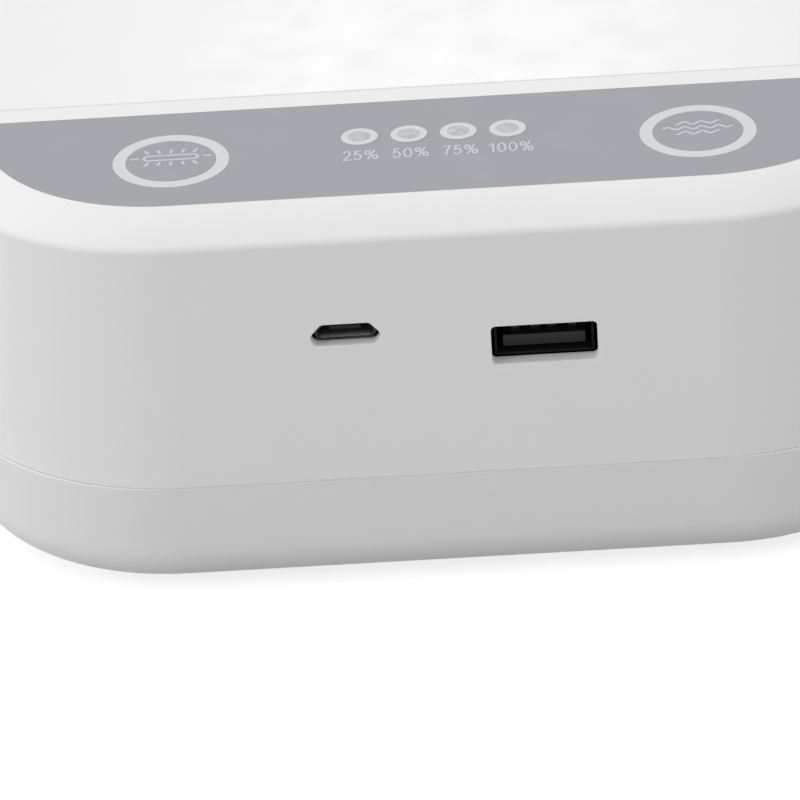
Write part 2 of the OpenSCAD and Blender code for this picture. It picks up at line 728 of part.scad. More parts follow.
module scent_cup() color(white) translate([cup_x, cup_y, tray_z]) difference() {
    cylinder(r = cup_r, h = cup_h);
    translate([0, 0, cup_floor_t]) cylinder(r = cup_r - cup_wall, h = cup_h);
}
module scent_pad() color([0.9, 0.88, 0.8]) translate([cup_x, cup_y, tray_z + cup_floor_t])
    cylinder(r = cup_r - cup_wall - fit, h = cup_h - cup_floor_t - pad_room);
// Slotted cap that drops into the cup's mouth
module scent_cap() color(white) translate([cup_x, cup_y, tray_z + cup_h]) {
    plug_r = cup_r - cup_wall - fit;
    difference() {
        rotate_extrude() polygon([[0, 0], [plug_r - 1, 0], [plug_r - 1, -1], [plug_r, -1], [plug_r, 0],
            [cup_r, 0], [cup_r, 1], [0, 1]]);
        for (i = [-2:2]) translate([i * slot_pitch - slot_w / 2, -slot_half(i), -eps])
            cube([slot_w, 2 * slot_half(i), 1 + 2 * eps]);
    }
}
function slot_half(i) =
    sqrt(pow(cup_r - cup_wall - 2.2, 2) - pow(abs(i) * slot_pitch + slot_w / 2, 2));
module scent_heater() color("sienna") translate([cup_x, cup_y, tray_z - tray_t - 1.2])
    cylinder(r = cup_r - 1, h = 1.2);

module driver_board() color(board_green) translate([0, driver_y, driver_z]) difference() {
    translate([-driver_w / 2, -driver_l / 2, 0]) cube([driver_w, driver_l, board_t]);
    for (x = [-1, 1] * driver_screw_x, y = [-1, 1] * driver_screw_y)
        translate([x, y, -eps]) cylinder(r = screw_r + hole_play, h = board_t + 2 * eps, $fn = 32);
}
module driver_transformer() color([0.8, 0.7, 0.2])
    translate([-transformer_w / 2, driver_y - transformer_l / 2, driver_top_z])
        cube([transformer_w, transformer_l, driver_room]);
module driver_capacitors() color(black) for (s = [-1, 1])
    translate([driver_w / 2 - capacitor_in, driver_y + s * capacitor_pitch / 2, driver_top_z])
        cylinder(r = capacitor_r, h = driver_room, $fn = 32);
module driver_screws() color(steel) for (x = [-1, 1] * driver_screw_x, y = [-1, 1] * driver_screw_y)
    translate([x, driver_y + y, driver_top_z + head_h]) mirror([0, 0, 1])
        screw(0, 0, 0, driver_post_h + 1);

// Flat cable from the driver board forward and up to the main board
module ribbon_cable() color([0.75, 0.75, 0.78]) {
    cable_w = 10;
    cable_t = 0.8;
    over_driver = 6;
    under_board = 8;
    start_y = driver_y - driver_l / 2 + over_driver;
    rise_y = board_back_y - under_board;
    translate([-cable_w / 2, rise_y, driver_top_z]) cube([cable_w, start_y - rise_y, cable_t]);
    translate([-cable_w / 2, rise_y, driver_top_z]) cube([cable_w, cable_t, board_z - driver_top_z]);
}

module case_screws() color(steel) for (x = [-1, 1] * case_boss_x, y = case_boss_y)
    screw(x, y, seam_z - seat_t - head_h, case_screw_l);

module feet() color([0.2, 0.2, 0.21])
    for (x = [-1, 1] * (body_w / 2 - foot_in), y = [front_y + foot_in, back_y - foot_in])
        translate([x, y, 0]) {
            cylinder(r1 = foot_r - 0.6, r2 = foot_r, h = 0.6);
            translate([0, 0, 0.6]) cylinder(r = foot_r, h = foot_h);
        }

module hinge_pins() color(steel) for (x = [-1, 1] * hinge_x) translate([x, hinge_y, lid_z])
    rotate([0, 90, 0]) cylinder(r = pin_r, h = 3 * barrel_l + 2 * barrel_gap - 1, center = true);

module lid_shell() color(white) difference() {
    union() {
        intersection() {
            difference() {
                top_form(lid_z + rim_gap);
                intersection() {
                    top_hollow(lid_z);
                    behind(lid_front_y + wall);
                }
            }
            behind(lid_front_y);
        }
        for (x = [-1, 1] * liner_screw_x, y = liner_screw_y) translate([x, y, liner_z])
            cylinder(r = screw_r + boss_wall, h = wall_top_z - liner_z);
        for (x = [-1, 1] * hinge_x) translate([x, 0, 0]) lid_barrel();
    }
    for (x = [-1, 1] * liner_screw_x, y = liner_screw_y) translate([x, y, liner_z - eps])
        cylinder(r = screw_r, h = 6.5);
    for (x = [-1, 1] * hinge_x) hinge_bore(x);
}

// Bright liner in the lid: a flange and a shallow basin turned over
module lid_liner() color(silver) difference() {
    union() {
        intersection() {
            case_slab(wall + fit, liner_z - tray_t, liner_z);
            behind(lid_front_y + wall + fit);
        }
        basin_over(tray_t, liner_z - tray_t, liner_top_z + tray_t);
    }
    basin_over(0, liner_z - tray_t - 0.01, liner_top_z);
    for (x = [-1, 1] * liner_screw_x, y = liner_screw_y) translate([x, y, liner_z - tray_t - eps])
        cylinder(r = screw_r + hole_play, h = tray_t + 2 * eps, $fn = 32);
}

module lid_magnets() color(steel) for (s = [-1, 1])
    translate([s * magnet_x - magnet_w / 2, lid_front_y + wall + fit, liner_z])
        cube([magnet_w, magnet_t, magnet_h]);

module liner_screws() color(steel) for (x = [-1, 1] * liner_screw_x, y = liner_screw_y)
    screw(x, y, liner_z - tray_t - head_h, tray_t + liner_screw_l);

bottom_shell();
upper_case();
control_panel();
uv_button();
scent_button();
uv_light_ring();
scent_light_ring();
indicator_rims();
indicator_lenses();
main_board();
uv_switch();
scent_switch();
uv_switch_plunger();
scent_switch_plunger();
indicator_leds();
ring_leds();
control_chip();
reed_sensor();
usb_socket_shell();
usb_socket_tongue();
usb_socket_contacts();
micro_socket_shell();
micro_socket_tongue();
board_screws();
chamber_tray();
lid_seal();
phone_rails();
base_lamp();
base_lamp_holders();
scent_cup();
scent_pad();
scent_cap();
scent_heater();
driver_board();
driver_transformer();
driver_capacitors();
driver_screws();
ribbon_cable();
case_screws();
feet();
hinge_pins();
lid_shell();
lid_liner();
lid_lamp();
lid_lamp_holders();
lid_magnets();
liner_screws();
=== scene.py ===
import math

import bmesh
import bpy
from mathutils import Matrix, Vector, noise


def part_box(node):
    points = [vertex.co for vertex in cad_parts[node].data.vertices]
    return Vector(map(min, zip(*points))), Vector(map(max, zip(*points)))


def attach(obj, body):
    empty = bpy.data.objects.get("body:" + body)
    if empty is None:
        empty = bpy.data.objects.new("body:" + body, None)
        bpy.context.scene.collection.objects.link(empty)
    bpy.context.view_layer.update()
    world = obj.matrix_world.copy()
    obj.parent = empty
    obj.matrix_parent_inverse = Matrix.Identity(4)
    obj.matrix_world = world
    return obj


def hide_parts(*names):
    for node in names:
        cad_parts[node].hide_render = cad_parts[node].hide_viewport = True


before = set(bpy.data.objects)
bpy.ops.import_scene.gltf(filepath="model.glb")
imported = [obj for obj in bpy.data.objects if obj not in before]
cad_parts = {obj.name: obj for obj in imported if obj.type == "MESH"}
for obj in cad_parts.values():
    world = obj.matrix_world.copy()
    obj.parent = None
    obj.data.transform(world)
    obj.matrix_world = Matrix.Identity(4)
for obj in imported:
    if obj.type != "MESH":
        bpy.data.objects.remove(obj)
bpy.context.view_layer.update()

MM = 0.001


# ---------------------------------------------------------------- sizes, read from the CAD parts' boxes
def low(node):
    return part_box(node)[0]


def high(node):
    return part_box(node)[1]


def middle(node):
    return (low(node) + high(node)) / 2


# Three that no box gives, and that the others need
RING_FLANGE_W = 1.2 * MM
KEY_SKIRT_W = 1.0 * MM
LED_COUNT = 4

FRONT_Y = low("bottom_shell").y
BACK_Y = high("bottom_shell").y
MID_Y = (FRONT_Y + BACK_Y) / 2
BODY_W = 2 * high("bottom_shell").x
BODY_L = BACK_Y - FRONT_Y
CASE_W = 2 * high("upper_case").x
SEAM_STEP = (BODY_W - CASE_W) / 2
CASE_L = BODY_L - 2 * SEAM_STEP
BASE_Z = low("bottom_shell").z
SEAM_Z = low("upper_case").z
DECK_Z = high("upper_case").z
PANEL_Y = low("control_panel").y
PANEL_BACK_Y = high("control_panel").y
PANEL_Z = low("control_panel").z
SHOULDER_W = PANEL_Y - FRONT_Y - SEAM_STEP
LID_Z = middle("hinge_pins").z
HINGE_Y = middle("hinge_pins").y
HINGE_R = LID_Z - low("lid_shell").z
PIN_R = (high("hinge_pins").z - low("hinge_pins").z) / 2
LID_FRONT_Y = low("lid_shell").y
BUTTON_Y = middle("uv_button").y
BUTTON_X = {"uv": middle("uv_button").x, "scent": middle("scent_button").x}
RING_R = (high("uv_light_ring").y - low("uv_light_ring").y) / 2 - RING_FLANGE_W
KEY_R = (high("uv_button").y - low("uv_button").y) / 2 - KEY_SKIRT_W
CHAMBER_Y = middle("base_lamp").y
LED_Y = middle("indicator_rims").y
RIM_R = high("indicator_rims").y - LED_Y
LED_PITCH = (high("indicator_rims").x - low("indicator_rims").x - 2 * RIM_R) / (LED_COUNT - 1)
LED_X = [(i - (LED_COUNT - 1) / 2) * LED_PITCH for i in range(LED_COUNT)]
LENS_R = (high("indicator_lenses").y - low("indicator_lenses").y) / 2
PORT_X = middle("usb_socket_contacts").x
USB_Z = middle("usb_socket_tongue").z
MICRO_Z = middle("micro_socket_shell").z
MICRO_Y = low("micro_socket_shell").y

# ---------------------------------------------------------------- sizes that a box doesn't give
FIT = 0.1 * MM  # play between a piece and its seat
EPS = 0.5 * MM  # how far a cutting form reaches past what it cuts
ON_FACE = 0.01 * MM  # how near a point lies to a face that it is on

# sides of a round form
RING_STEPS = 96
ROUND_STEPS = 64
HEAD_STEPS = 48
SHANK_STEPS = 32
BORE_STEPS = 24

# the case and the bottom shell
WALL = 2.0 * MM
DECK_T = 2.4 * MM
FLOOR_T = 2.2 * MM
CORNER_R = 29.4 * MM
CASE_R = CORNER_R - SEAM_STEP
CORNER_STEPS = 28
CEILING_Z = DECK_Z - DECK_T
FRONT_WALL_Y = FRONT_Y + SEAM_STEP
UPRIGHT = math.radians(90)
SHOULDER_A0 = math.radians(12)
SHOULDER_A1 = math.radians(34)
SHOULDER_STEPS = 14
EDGE_R = 1.1 * MM
EDGE_STEPS = 8
HOLLOW_SLOPE = 1.2 * MM
BOTTOM_R = 6.1 * MM
BOTTOM_STEP = 6
FLOOR_IN = 0.6 * BOTTOM_R
BOTTOM_EDGE_R = 0.25 * MM
SHELL_DRAFT = 0.6 * MM
SHELL_IN = 0.2 * MM
SHELL_R = CORNER_R - (SHELL_DRAFT + SHELL_IN)
SEAM_EDGE = [(0, 0.2 * MM), (0.04 * MM, 0.08 * MM), (0.12 * MM, 0)]  # (inset, depth under the seam)
GROOVE_IN = 0.4 * MM
GROOVE_H = 0.07 * MM

# the lid, its ledge and the hinge
LID_GAP = 0.35 * MM
RIM_GAP = 0.3 * MM
LID_Y = LID_FRONT_Y - LID_GAP
LID_SEEN_GAP = 0.17 * MM
LID_SKIN_Y = LID_Y + LID_SEEN_GAP
LEDGE_T = 2.0 * MM
FLANGE_Z = LID_Z - LEDGE_T
DECK_EDGE_R = 0.14 * MM
DECK_EDGE_H = 4.0 * MM
LID_EDGE_R = 0.2 * MM
RIM_EDGE_R = 0.3 * MM
HINGE_X = 22.0 * MM
BARREL_L = 6.0 * MM
BARREL_GAP = 0.3 * MM
WEB_H = 0.7 * HINGE_R
PIN_PLAY = 0.05 * MM

# the chamber
TRAY_T = 1.2 * MM
TRAY_DRAFT = 1.5 * MM
TRAY_PLAY = 0.4 * MM
TRAY_HOLE_H = 2.0 * MM  # how far the hole for the tray starts under the seam
TRAY_R = 3.0 * MM
RIM_W = 13.0 * MM
RIM_L = 7.0 * MM
CHAMBER_R = 14.0 * MM
CHAMBER_STEPS = 16
CHAMBER_W = BODY_W - 2 * RIM_W
CHAMBER_L = BACK_Y - LID_Y - 2 * RIM_L

# the sockets' cut-outs, as (width, height), and the part of the front wall that holds them: its width, and
# how far it stays under the deck
USB_CUT = (13.0 * MM, 5.2 * MM)
USB_CUT_R = 0.6 * MM
MICRO_CUT = (8.5 * MM, 2.9 * MM)
MICRO_CUT_R = 0.35 * MM
CUT_EDGE_R = 0.35 * MM
CUT_STEPS = 6
CURVE_STEPS = 4
PORTS_W = 48.0 * MM
PORTS_TOP = 6.0 * MM

# the keys and indicators
FACE_Z = DECK_Z - 0.05 * MM
FACE_EDGE = 0.05 * MM
ARC_STEP = 15
RING_ID_R = KEY_R + 0.02 * MM
RIM_PROUD = 0.1 * MM

# screws and feet
SHANK_R = 1.2 * MM
HEAD_R = 2.3 * MM
HEAD_HOLE_R = 2.4 * MM
HEAD_SEAT = 3.0 * MM
BOSS_WALL = 1.5 * MM
BOSS_BORE = 6.0 * MM
BOSS_SHORT = 0.02 * MM
FOOT_R = 6.0 * MM
FOOT_HOLE_R = 6.1 * MM
FOOT_SEAT = 0.6 * MM


# ---------------------------------------------------------------- mesh tools
def new_object(name, bm):
    mesh = bpy.data.meshes.new(name)
    bmesh.ops.recalc_face_normals(bm, faces=bm.faces)
    bm.to_mesh(mesh)
    bm.free()
    obj = bpy.data.objects.new(name, mesh)
    bpy.context.scene.collection.objects.link(obj)
    return obj


def quarter(step):
    """Angles from 0 to 90 degrees, step apart."""
    return [math.radians(d) for d in range(0, 91, step)]


def plan(w, l, r, inset, centre_y, steps):
    """Points of a rounded rectangle, counterclockwise."""
    points = []
    for k, (sx, sy) in enumerate([(1, 1), (-1, 1), (-1, -1), (1, -1)]):
        cx, cy = sx * (w / 2 - r), centre_y + sy * (l / 2 - r)
        for i in range(steps + 1):
            a = math.radians(90 * (k + i / steps))
            points.append((cx + (r - inset) * math.cos(a), cy + (r - inset) * math.sin(a)))
    return points


def block(side, w=CASE_W, l=CASE_L, r=CASE_R, centre_y=MID_Y, steps=CORNER_STEPS):
    """A closed block with a rounded plan whose side follows (inset, z) pairs from low to high."""
    bm = bmesh.new()
    rings = []
    for inset, z in side:
        rings.append([bm.verts.new((x, y, z)) for x, y in plan(w, l, r, inset, centre_y, steps)])
    n = len(rings[0])
    for a, b in zip(rings, rings[1:]):
        for i in range(n):
            bm.faces.new((a[i], a[(i + 1) % n], b[(i + 1) % n], b[i]))
    bm.faces.new(rings[0][::-1])
    bm.faces.new(rings[-1])
    return new_object("block", bm)


def slab(inset, z0, z1):
    """A flat layer of the case's plan."""
    return block([(0, z0), (0, z1)], CASE_W - 2 * inset, CASE_L - 2 * inset, CASE_R - inset)


def cuboid(lo, hi):
    bm = bmesh.new()
    bmesh.ops.create_cube(bm, size=1)
    lo, hi = Vector(lo), Vector(hi)
    bmesh.ops.scale(bm, vec=hi - lo, verts=bm.verts)
    bmesh.ops.translate(bm, vec=(lo + hi) / 2, verts=bm.verts)
    return new_object("cuboid", bm)


# Half spaces, in metres, that are larger than the object
SPACE_X = 0.2
SPACE_L = 0.5
SPACE_Z = (-0.05, 0.2)


def behind(y):
    return cuboid((-SPACE_X, y, SPACE_Z[0]), (SPACE_X, y + SPACE_L, SPACE_Z[1]))


def ahead(y):
    return cuboid((-SPACE_X, y - SPACE_L, SPACE_Z[0]), (SPACE_X, y, SPACE_Z[1]))


POLE_R = 1e-7


def turned(side, steps, at, lying=False):
    """A closed solid of revolution whose outline is (radius, height) pairs, along X where it is lying.

    A radius of 0 is a pole, and an outline that starts off the axis is closed to a ring.
    """
    bm = bmesh.new()
    rings = []
    for radius, z in side:
        if radius < POLE_R:
            rings.append([bm.verts.new((0, 0, z))])
            continue
        turn = [math.tau * i / steps for i in range(steps)]
        rings.append([bm.verts.new((radius * math.cos(a), radius * math.sin(a), z)) for a in turn])
    closed = rings if len(rings[0]) == 1 else rings + [rings[0]]
    for a, b in zip(closed, closed[1:]):
        for i in range(steps):
            j = (i + 1) % steps
            if len(a) == 1:
                bm.faces.new((a[0], b[j], b[i]))
            elif len(b) == 1:
                bm.faces.new((a[i], a[j], b[0]))
            else:
                bm.faces.new((a[i], a[j], b[j], b[i]))
    if lying:
        bmesh.ops.rotate(bm, matrix=Matrix.Rotation(UPRIGHT, 3, "Y"), verts=bm.verts)
    bmesh.ops.translate(bm, vec=at, verts=bm.verts)
    return new_object("turned", bm)


def disc(radius, z0, z1, at, steps=ROUND_STEPS):
    """An upright round solid at = (x, y)."""
    return turned([(0, z0), (radius, z0), (radius, z1), (0, z1)], steps, (at[0], at[1], 0))


def prism(outline, y0, y1, at):
    """A solid along Y whose outline is (x, z) points round at = (x, z)."""
    bm = bmesh.new()
    ends = [[bm.verts.new((at[0] + x, y, at[1] + z)) for x, z in outline] for y in (y0, y1)]
    n = len(outline)
    for i in range(n):
        bm.faces.new((ends[0][i], ends[0][(i + 1) % n], ends[1][(i + 1) % n], ends[1][i]))
    bm.faces.new(ends[0][::-1])
    bm.faces.new(ends[1])
    return new_object("prism", bm)


def rounded_outline(w, h, r):
    """Points of an upright rounded rectangle, as (x, z)."""
    points = []
    for k, (sx, sz) in enumerate([(1, 1), (-1, 1), (-1, -1), (1, -1)]):
        for i in range(CUT_STEPS + 1):
            a = math.radians(90 * (k + i / CUT_STEPS))
            points.append((sx * (w / 2 - r) + r * math.cos(a), sz * (h / 2 - r) + r * math.sin(a)))
    return points


SIDE_SHARE = 0.45  # of a side that one rounded corner may take


def rounded_corners(points, r):
    """The closed outline with each corner swapped for a short curve that starts r away from it."""
    out = []
    n = len(points)
    for i, p in enumerate(points):
        p, a, b = Vector(p), Vector(points[i - 1]), Vector(points[(i + 1) % n])
        start = p + (a - p).normalized() * min(r, (a - p).length * SIDE_SHARE)
        end = p + (b - p).normalized() * min(r, (b - p).length * SIDE_SHARE)
        for k in range(CURVE_STEPS + 1):
            t = k / CURVE_STEPS
            q = start * (1 - t) ** 2 + p * 2 * t * (1 - t) + end * t * t
            out.append((q.x, q.y))
    return out


def boolean(kind, obj, tools):
    """Cuts, joins or crosses a form with others, which it uses up."""
    for tool in tools:
        m = obj.modifiers.new("bool", "BOOLEAN")
        m.operation = kind
        m.solver = "EXACT"
        m.object = tool
        bpy.context.view_layer.update()
        done = bpy.data.meshes.new_from_object(obj.evaluated_get(bpy.context.evaluated_depsgraph_get()))
        obj.modifiers.remove(m)
        old = obj.data
        obj.data = done
        bpy.data.meshes.remove(old)
        bpy.data.objects.remove(tool)
    return obj


def minus(obj, *tools):
    return boolean("DIFFERENCE", obj, tools)


def plus(obj, *tools):
    return boolean("UNION", obj, tools)


def both(obj, *tools):
    return boolean("INTERSECT", obj, tools)


MERGE_D = 0.002 * MM
SHARP_ANGLE = 50


def tidy(obj):
    """Joins points that a boolean left on top of each other."""
    bm = bmesh.new()
    bm.from_mesh(obj.data)
    bmesh.ops.remove_doubles(bm, verts=bm.verts, dist=MERGE_D)
    bmesh.ops.dissolve_degenerate(bm, edges=bm.edges, dist=MERGE_D)
    bm.to_mesh(obj.data)
    bm.free()


def near(value, target):
    return abs(value - target) < ON_FACE


def soften(obj, width, where, segments=3):
    """Rounds the sharp edges whose two ends both pass where."""
    bm = bmesh.new()
    bm.from_mesh(obj.data)
    edges = []
    for e in bm.edges:
        sharp = len(e.link_faces) == 2 and math.degrees(e.calc_face_angle(0)) > SHARP_ANGLE
        if sharp and all(where(v.co) for v in e.verts):
            edges.append(e)
    bmesh.ops.bevel(bm, geom=edges, offset=width, segments=segments, profile=0.5, affect="EDGES",
                    clamp_overlap=True)
    bm.to_mesh(obj.data)
    bm.free()


SMOOTH_ANGLE = 30
SOFT_ANGLE = 60


def shade(obj, angle=SMOOTH_ANGLE):
    """Smooth faces, sharp edges above angle, and normals that keep flat faces flat."""
    mesh = obj.data
    for polygon in mesh.polygons:
        polygon.use_smooth = True
    mesh.set_sharp_from_angle(angle=math.radians(angle))
    m = obj.modifiers.new("normals", "WEIGHTED_NORMAL")
    m.keep_sharp = True
    m.mode = "FACE_AREA"
    return obj


def piece(obj, name, body, material, replaces=()):
    """Makes a form a named piece of a body, in the place of the CAD nodes that it replaces."""
    obj.name = name
    obj.data.materials.clear()
    obj.data.materials.append(material)
    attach(obj, body)
    if replaces:
        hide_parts(*replaces)


# ---------------------------------------------------------------- materials
# A mix node's sockets for colours, which share their names with those for numbers
MIX_A = 6
MIX_B = 7
MIX_OUT = 2

NOISE_SPAN = (0.3, 0.7)  # what most of a noise lies between


class Nodes:
    """A material's node tree, with short ways to add what the materials here share."""

    def __init__(self, name, color, roughness, **sockets):
        self.material = bpy.data.materials.new(name)
        self.material.use_nodes = True
        self.tree = self.material.node_tree
        self.bsdf = self.tree.nodes["Principled BSDF"]
        self.bsdf.inputs["Base Color"].default_value = (*color, 1)
        self.bsdf.inputs["Roughness"].default_value = roughness
        for socket, value in sockets.items():
            self.bsdf.inputs[socket.replace("_", " ")].default_value = value
        self.coords = self.tree.nodes.new("ShaderNodeTexCoord").outputs["Object"]
        self.height = None

    def add(self, kind, **values):
        """A node, with its inputs and settings by name."""
        node = self.tree.nodes.new(kind)
        for key, value in values.items():
            if key in node.inputs:
                node.inputs[key].default_value = value
            else:
                setattr(node, key, value)
        return node

    def link(self, a, b):
        self.tree.links.new(a, b)

    def stretched(self, scale):
        mapping = self.add("ShaderNodeMapping", Scale=scale)
        self.link(self.coords, mapping.inputs["Vector"])
        return mapping.outputs["Vector"]

    def noise(self, scale, detail=3.0, roughness=0.55, stretch=None):
        """A noise with scale waves in a metre, stretched by (x, y, z) where stretch is given."""
        node = self.add("ShaderNodeTexNoise", Scale=scale, Detail=detail, Roughness=roughness)
        self.link(self.stretched(stretch) if stretch else self.coords, node.inputs["Vector"])
        return node.outputs["Fac"]

    def ramp(self, fac, a, b, lo=0.35, hi=0.65):
        """Colour a up to fac = lo, and colour b from fac = hi."""
        node = self.add("ShaderNodeValToRGB")
        for element, color, place in zip(node.color_ramp.elements, (a, b), (lo, hi)):
            element.position = place
            element.color = (*color, 1)
        self.link(fac, node.inputs["Fac"])
        return node.outputs["Color"]

    def map(self, value, a, b, lo=0.0, hi=1.0):
        """A value from lo, where the input is a, to hi, where it is b."""
        node = self.add("ShaderNodeMapRange")
        for socket, number in {"From Min": a, "From Max": b, "To Min": lo, "To Max": hi}.items():
            node.inputs[socket].default_value = number
        self.link(value, node.inputs["Value"])
        return node.outputs["Result"]

    def axes(self, vector):
        node = self.add("ShaderNodeSeparateXYZ")
        self.link(vector, node.inputs["Vector"])
        return node.outputs

    def color_from(self, fac, a, b):
        self.link(self.ramp(fac, a, b), self.bsdf.inputs["Base Color"])

    def roughness_from(self, fac, lo, hi):
        self.link(self.map(fac, *NOISE_SPAN, lo, hi), self.bsdf.inputs["Roughness"])

    def bump(self, fac, distance):
        """Adds a bump of this height to those before it."""
        node = self.add("ShaderNodeBump", Distance=distance)
        self.link(fac, node.inputs["Height"])
        if self.height is not None:
            self.link(self.height, node.inputs["Normal"])
        self.height = node.outputs["Normal"]
        self.link(self.height, self.bsdf.inputs["Normal"])


def moulded_plastic(name, color, roughness, grain=0.012 * MM, shade_by=0.985, gloss=0.45):
    """Moulded plastic: a fine spark texture, slow waves in gloss and a trace of uneven colour."""
    n = Nodes(name, color, roughness, Specular_IOR_Level=gloss)
    darker = tuple(c * shade_by for c in color)
    n.color_from(n.noise(14, 4), darker, color)
    n.roughness_from(n.noise(160), roughness - 0.05, roughness + 0.05)
    n.bump(n.noise(2600, 2, 0.6), grain)
    n.bump(n.noise(420, 2), grain * 0.8)
    return n.material


# Each plastic's material name, colour, roughness and other settings
PLASTICS = {
    "white": ("white_plastic", (0.86, 0.86, 0.86), 0.5, {"grain": 0.014 * MM, "gloss": 0.3}),
    # The bottom shell's white is the case's white made a little darker: painted shade for its drafted wall,
    # which faces slightly down.
    "shell_white_painted_shade": ("bottom_shell_painted_shade_white", (0.83, 0.83, 0.83), 0.5, {"grain": 0.014 * MM, "gloss": 0.3}),
    "lid_white": ("smooth_white_plastic", (0.86, 0.86, 0.86), 0.22, {"grain": 0.002 * MM, "gloss": 0.5}),
    "inner_white": ("inner_white_plastic", (0.78, 0.78, 0.78), 0.55, {}),
    "panel": ("grey_panel", (0.338, 0.342, 0.370), 0.42,
              {"grain": 0.005 * MM, "shade_by": 0.97, "gloss": 0.3}),
    "milk": ("milky_plastic", (0.662, 0.668, 0.681), 0.4, {"grain": 0.004 * MM, "gloss": 0.35}),
    "ink": ("pale_ink", (0.603, 0.608, 0.64), 0.5, {"grain": 0.004 * MM, "gloss": 0.3}),
    "black": ("black_plastic", (0.014, 0.014, 0.016), 0.42, {"grain": 0.006 * MM}),
    "dark_grey": ("dark_grey_plastic", (0.016, 0.0165, 0.018), 0.5, {"grain": 0.006 * MM, "gloss": 0.3}),
}


def lens_material():
    """Pale plastic over small cells."""
    n = Nodes("indicator_lens", (0.50, 0.505, 0.51), 0.22)
    n.color_from(n.noise(900), (0.44, 0.45, 0.46), (0.55, 0.555, 0.56))
    cells = n.add("ShaderNodeTexVoronoi", Scale=3400)
    n.link(n.coords, cells.inputs["Vector"])
    n.bump(cells.outputs["Distance"], 0.06 * MM)
    return n.material


def steel_material():
    n = Nodes("plated_steel", (0.52, 0.52, 0.53), 0.3, Metallic=1.0)
    n.color_from(n.noise(120), (0.46, 0.46, 0.47), (0.56, 0.56, 0.57))
    n.roughness_from(n.noise(700, stretch=(1, 1, 12)), 0.22, 0.38)
    n.bump(n.noise(1800, 2, stretch=(1, 1, 10)), 0.004 * MM)
    return n.material


# The socket's metal is painted near-black: painted shade for the dark inside of the socket's mouth.
def socket_material():
    n = Nodes("socket_metal_painted_shade", (0.012, 0.012, 0.012), 0.6, Specular_IOR_Level=0.1)
    n.color_from(n.noise(500), (0.007, 0.0068, 0.0066), (0.011, 0.0108, 0.0105))
    n.roughness_from(n.noise(900, 2, stretch=(1, 8, 1)), 0.5, 0.7)
    n.bump(n.noise(1500, 2, stretch=(1, 8, 1)), 0.004 * MM)
    return n.material


def sheet_material():
    """Sheet metal in painted light: painted shade, and a painted highlight on upward faces near the socket's
    mouth.
    """
    mouth_l = 1.1 * MM
    up_span = (0.6, 0.95)
    n = Nodes("socket_sheet_metal", (0.2, 0.195, 0.19), 0.42, Metallic=0.3)
    up = n.axes(n.add("ShaderNodeNewGeometry").outputs["Normal"])["Z"]
    depth = n.map(n.axes(n.coords)["Y"], MICRO_Y, MICRO_Y + mouth_l)
    # Painted shade: near-black on every face that doesn't look up
    painted_shade = n.ramp(n.noise(600), (0.018, 0.0175, 0.017), (0.026, 0.0255, 0.025))
    # Painted highlight on faces that look up, strong at the mouth and fading deeper in
    painted_highlight = n.ramp(depth, (0.66, 0.61, 0.56), (0.16, 0.155, 0.15), 0, 1)
    mix = n.add("ShaderNodeMix", data_type="RGBA")
    n.link(n.map(up, *up_span), mix.inputs["Factor"])
    n.link(painted_shade, mix.inputs[MIX_A])
    n.link(painted_highlight, mix.inputs[MIX_B])
    n.link(mix.outputs[MIX_OUT], n.bsdf.inputs["Base Color"])
    n.roughness_from(n.noise(1100, 2, stretch=(1, 8, 1)), 0.34, 0.5)
    n.bump(n.noise(1500, 2, stretch=(1, 8, 1)), 0.004 * MM)
    return n.material


def gold_material():
    n = Nodes("gilt_contact", (0.42, 0.29, 0.18), 0.3, Metallic=1.0)
    n.color_from(n.noise(900), (0.30, 0.20, 0.13), (0.50, 0.35, 0.22))
    n.roughness_from(n.noise(1600, 2), 0.22, 0.4)
    n.bump(n.noise(3000, 2), 0.003 * MM)
    return n.material


def mirror_material():
    """Bright sheet with a slow wave in it."""
    n = Nodes("bright_liner", (0.66, 0.67, 0.69), 0.16, Metallic=1.0)
    n.color_from(n.noise(30, 4), (0.62, 0.63, 0.65), (0.70, 0.71, 0.73))
    n.roughness_from(n.noise(90), 0.1, 0.22)
    n.bump(n.noise(45), 0.05 * MM)
    n.bump(n.noise(1400, 2), 0.004 * MM)
    return n.material


def glass_material():
    n = Nodes("lamp_glass", (0.93, 0.96, 1.0), 0.03, IOR=1.45, Transmission_Weight=1.0)
    n.roughness_from(n.noise(60), 0.01, 0.06)
    n.bump(n.noise(220, 2, stretch=(1, 0.2, 1)), 0.02 * MM)
    return n.material


def clear_material():
    n = Nodes("clear_plastic", (0.90, 0.92, 0.93), 0.16, IOR=1.4, Transmission_Weight=0.35)
    n.color_from(n.noise(60), (0.87, 0.89, 0.90), (0.92, 0.94, 0.95))
    n.roughness_from(n.noise(140), 0.1, 0.24)
    n.bump(n.noise(300, 2), 0.008 * MM)
    return n.material


def rubber_material():
    n = Nodes("grey_rubber", (0.045, 0.045, 0.048), 0.75)
    n.color_from(n.noise(200, 4), (0.035, 0.035, 0.038), (0.06, 0.06, 0.063))
    n.roughness_from(n.noise(600, 2), 0.68, 0.85)
    n.bump(n.noise(1600), 0.02 * MM)
    return n.material


def felt_material():
    """Felt: two sets of fibres that cross, over small lumps."""
    n = Nodes("felt", (0.72, 0.68, 0.58), 0.95, Sheen_Weight=0.4)
    n.color_from(n.noise(700, 5, stretch=(1, 3, 1)), (0.60, 0.56, 0.47), (0.80, 0.77, 0.68))
    n.bump(n.noise(900, 5, stretch=(3, 1, 1)), 0.25 * MM)
    n.bump(n.noise(1500, 4), 0.12 * MM)
    return n.material


